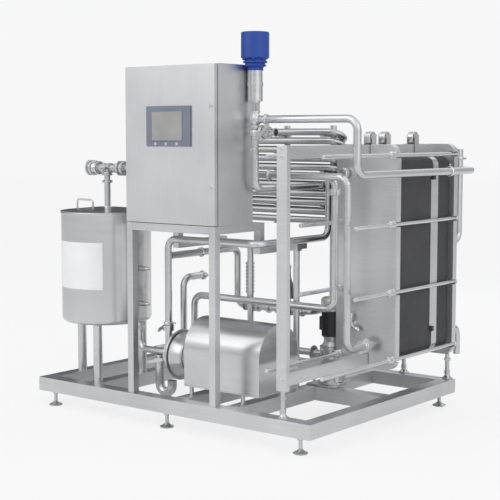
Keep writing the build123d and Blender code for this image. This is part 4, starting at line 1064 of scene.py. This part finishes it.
waterMotor = {
    "body": (turned, (1422, 840, 425), up, [
        (0, 20), (0, 60), (4, 62), (8, 62), (10, 55), (130, 55), (132, 62), (139, 62), (139, 20),
    ], 48),
    "fins": (finsRound, 28, (1421.2, 1422.8, 892, 901.5, 437, 555), "Z", (1422, 840, 500)),
    "terminalBox": (block, 1355, 1375, 805, 875, 455, 530, 3),
}
finish(joined("waterMotor", made(waterMotor)), "hot_water_motor")
waterCap = turned((1422, 840, 564), up, [
    (0, 58), (0, 63), (2, 64.8), (58, 64.8), (66, 60), (72, 50), (74, 40), (75, 20),
], 48)
waterCap.name = "waterCap"
finish(waterCap, "hot_water_motor", look="satin_steel", replace=False)

# Control valves: bodies in the line, pillars, and a ribbed and a stepped actuator
ribs = {"count": 9, "from": 46, "pitch": 20, "outline": [(0, 19), (4, 25), (14, 25), (18, 19)]}
ribbed = [(0, 14), (10, 18), (20, 18), (21, 14), (40, 14)]
for rib in range(ribs["count"]):
    ribbed += [(ribs["from"] + rib * ribs["pitch"] + along, radius) for along, radius in ribs["outline"]]
control = {
    "y": 840,
    "z": 540,
    "halfLength": 36,
    "body": [
        (0, 20), (0, 28), (2, 30), (10, 30), (12, 24), (20, 27), (36, 30), (52, 27), (60, 24), (62, 30),
        (70, 30), (72, 28), (72, 20),
    ],
    "actuatorFrom": 566,
    "actuatorsByPlace": {
        850: ribbed + [(232, 16), (242, 14), (244, 10)],
        1114: [
            (0, 14), (10, 18), (20, 18), (21, 14), (34, 14), (38, 40), (40, 43), (54, 43), (56, 46), (66, 46),
            (68, 42), (84, 40), (120, 32), (150, 22), (200, 19), (204, 22), (222, 22), (226, 16), (244, 12),
        ],
    },
    "pillars": (24, -24),
    "pillarFrom": 570,
    "pillar": [(0, 4), (48, 4)],
}
controlParts = []
for valveX, actuator in control["actuatorsByPlace"].items():
    bodyStart = (valveX - control["halfLength"], control["y"], control["z"])
    controlParts.append(turned(bodyStart, right, control["body"], 36))
    controlParts.append(turned((valveX, control["y"], control["actuatorFrom"]), up, actuator, 36))
    for pillarY in control["pillars"]:
        pillarPlace = (valveX, control["y"] + pillarY, control["pillarFrom"])
        controlParts.append(turned(pillarPlace, up, control["pillar"], 12))
finish(joined("controlValves", controlParts), "control_valves")
print("hot water set made")

# The studio is written in metres; its floor mostly glows for the camera, to meet the backdrop evenly
studio = {
    "floorSize": 60,
    "floorHeight": -0.0005,
    "paper": 0.86,
    "paperPale": 1.03,
    "glow": (0.97, 0.97, 0.972, 1),
    "glowShare": 0.82,
    "backdrop": 0.93,
    "backdropBlue": 1.003,
    "world": 1.0,
    "behind": {"X": -0.621, "Y": 0.784},
}
bpy.ops.object.select_all(action="DESELECT")
bpy.ops.mesh.primitive_plane_add(size=studio["floorSize"], location=(0, 0, studio["floorHeight"]))
floor = bpy.context.object
floor.name = "floor"
floorLook, floorShader, floorPlace = newLook("floorPaper", {"Roughness": 0.9, "Specular IOR Level": 0.1})
floorClouds = stretched(floorPlace, (0.6, 0.6, 0.6), 1.0)
paper = studio["paper"]
palePaper = paper * studio["paperPale"]
feed(floorShader, "Base Color", floorPlace.add("ShaderNodeValToRGB", {"stops": [
    (0.2, (paper, paper, paper, 1)),
    (0.8, (palePaper, palePaper, palePaper, 1)),
]}, {"Fac": floorClouds}))
rays = floorPlace.add("ShaderNodeLightPath", output="Is Camera Ray")
glow = floorPlace.add("ShaderNodeEmission", values={"Color": studio["glow"], "Strength": 1.0})
floorTree = floorLook.node_tree
blendShader = floorTree.nodes.new("ShaderNodeMixShader")
floorTree.links.new((rays * studio["glowShare"]).socket, blendShader.inputs[0])
floorTree.links.new(floorShader.outputs[0], blendShader.inputs[1])
floorTree.links.new(glow.socket, blendShader.inputs[2])
floorTree.links.new(blendShader.outputs[0], floorTree.nodes["Material Output"].inputs["Surface"])
floor.data.materials.append(floorLook)

# World: pale bands of sky, darker behind the machine, and an even backdrop for the camera
world = bpy.data.worlds.new("studioWorld")
bpy.context.scene.world = world
world.use_nodes = True
worldTree = world.node_tree
skyPlace = Signal(worldTree, None).add("ShaderNodeTexCoord", output="Generated")
heading = {}
for side in "XYZ":
    heading[side] = skyPlace.add("ShaderNodeSeparateXYZ", values={"Vector": skyPlace}, output=side)
studioBands = skyPlace.add("ShaderNodeValToRGB", {"stops": [
    (0.0, (0.62, 0.62, 0.63, 1)),
    (0.46, (0.72, 0.72, 0.73, 1)),
    (0.51, (0.50, 0.50, 0.51, 1)),
    (0.56, (0.78, 0.78, 0.79, 1)),
    (0.70, (0.98, 0.98, 0.98, 1)),
    (1.0, (1.0, 1.0, 1.0, 1)),
]}, {"Fac": heading["Z"] * 0.5 + 0.5})
behind = heading["X"] * studio["behind"]["X"] + heading["Y"] * studio["behind"]["Y"]
shade = skyPlace.add("ShaderNodeValToRGB", {"stops": [
    (0.50, (1, 1, 1, 1)),
    (0.74, (0.60, 0.60, 0.61, 1)),
    (0.95, (0.10, 0.10, 0.11, 1)),
]}, {"Fac": behind * 0.5 + 0.5})
lit = skyPlace.add(
    "ShaderNodeMixRGB",
    {"blend_type": "MULTIPLY"},
    {"Fac": 1.0, "Color1": studioBands, "Color2": shade},
)
straight = skyPlace.add("ShaderNodeLightPath", output="Is Camera Ray")
backdropColour = (studio["backdrop"], studio["backdrop"], studio["backdrop"] * studio["backdropBlue"], 1)
seen = skyPlace.add(
    "ShaderNodeMixRGB",
    {"blend_type": "MIX"},
    {"Fac": straight, "Color1": lit, "Color2": backdropColour},
)
background = worldTree.nodes["Background"]
worldTree.links.new(seen.socket, background.inputs["Color"])
background.inputs["Strength"].default_value = studio["world"]

# Soft lamps, each with its place, its aim, its power and its size
lamps = {
    "keyLamp": ((-1.5, -4.5, 4.2), (0, 0, 0.9), 60, 4.5),
    "fillLamp": ((4.8, -1.5, 2.6), (0, 0, 0.9), 22, 4.0),
    "rimLamp": ((-1.0, 4.6, 3.6), (0, 0, 1.0), 40, 4.0),
}
for lampName, (lampPlace, aim, power, size) in lamps.items():
    lampData = bpy.data.lights.new(lampName, "AREA")
    lampData.energy = power
    lampData.size = size
    lamp = bpy.data.objects.new(lampName, lampData)
    bpy.context.scene.collection.objects.link(lamp)
    lamp.location = lampPlace
    lamp.rotation_euler = (Vector(aim) - Vector(lampPlace)).to_track_quat("-Z", "Y").to_euler()

# Camera at the photograph's angle
cameraSettings = {
    "place": (4.1294, -5.2773, 1.5077),
    "down": 5.41,
    "yaw": 38.38,
    "lens": 87.48,
    "sensor": 36,
    "farthest": 100,
}
cameraData = bpy.data.cameras.new("camera")
cameraData.lens = cameraSettings["lens"]
cameraData.sensor_width = cameraSettings["sensor"]
cameraData.clip_end = cameraSettings["farthest"]
camera = bpy.data.objects.new("camera", cameraData)
bpy.context.scene.collection.objects.link(camera)
camera.location = cameraSettings["place"]
camera.rotation_euler = (math.radians(90 - cameraSettings["down"]), 0, math.radians(cameraSettings["yaw"]))
bpy.context.scene.camera = camera
bpy.context.scene.view_settings.view_transform = "Standard"
print("studio made")

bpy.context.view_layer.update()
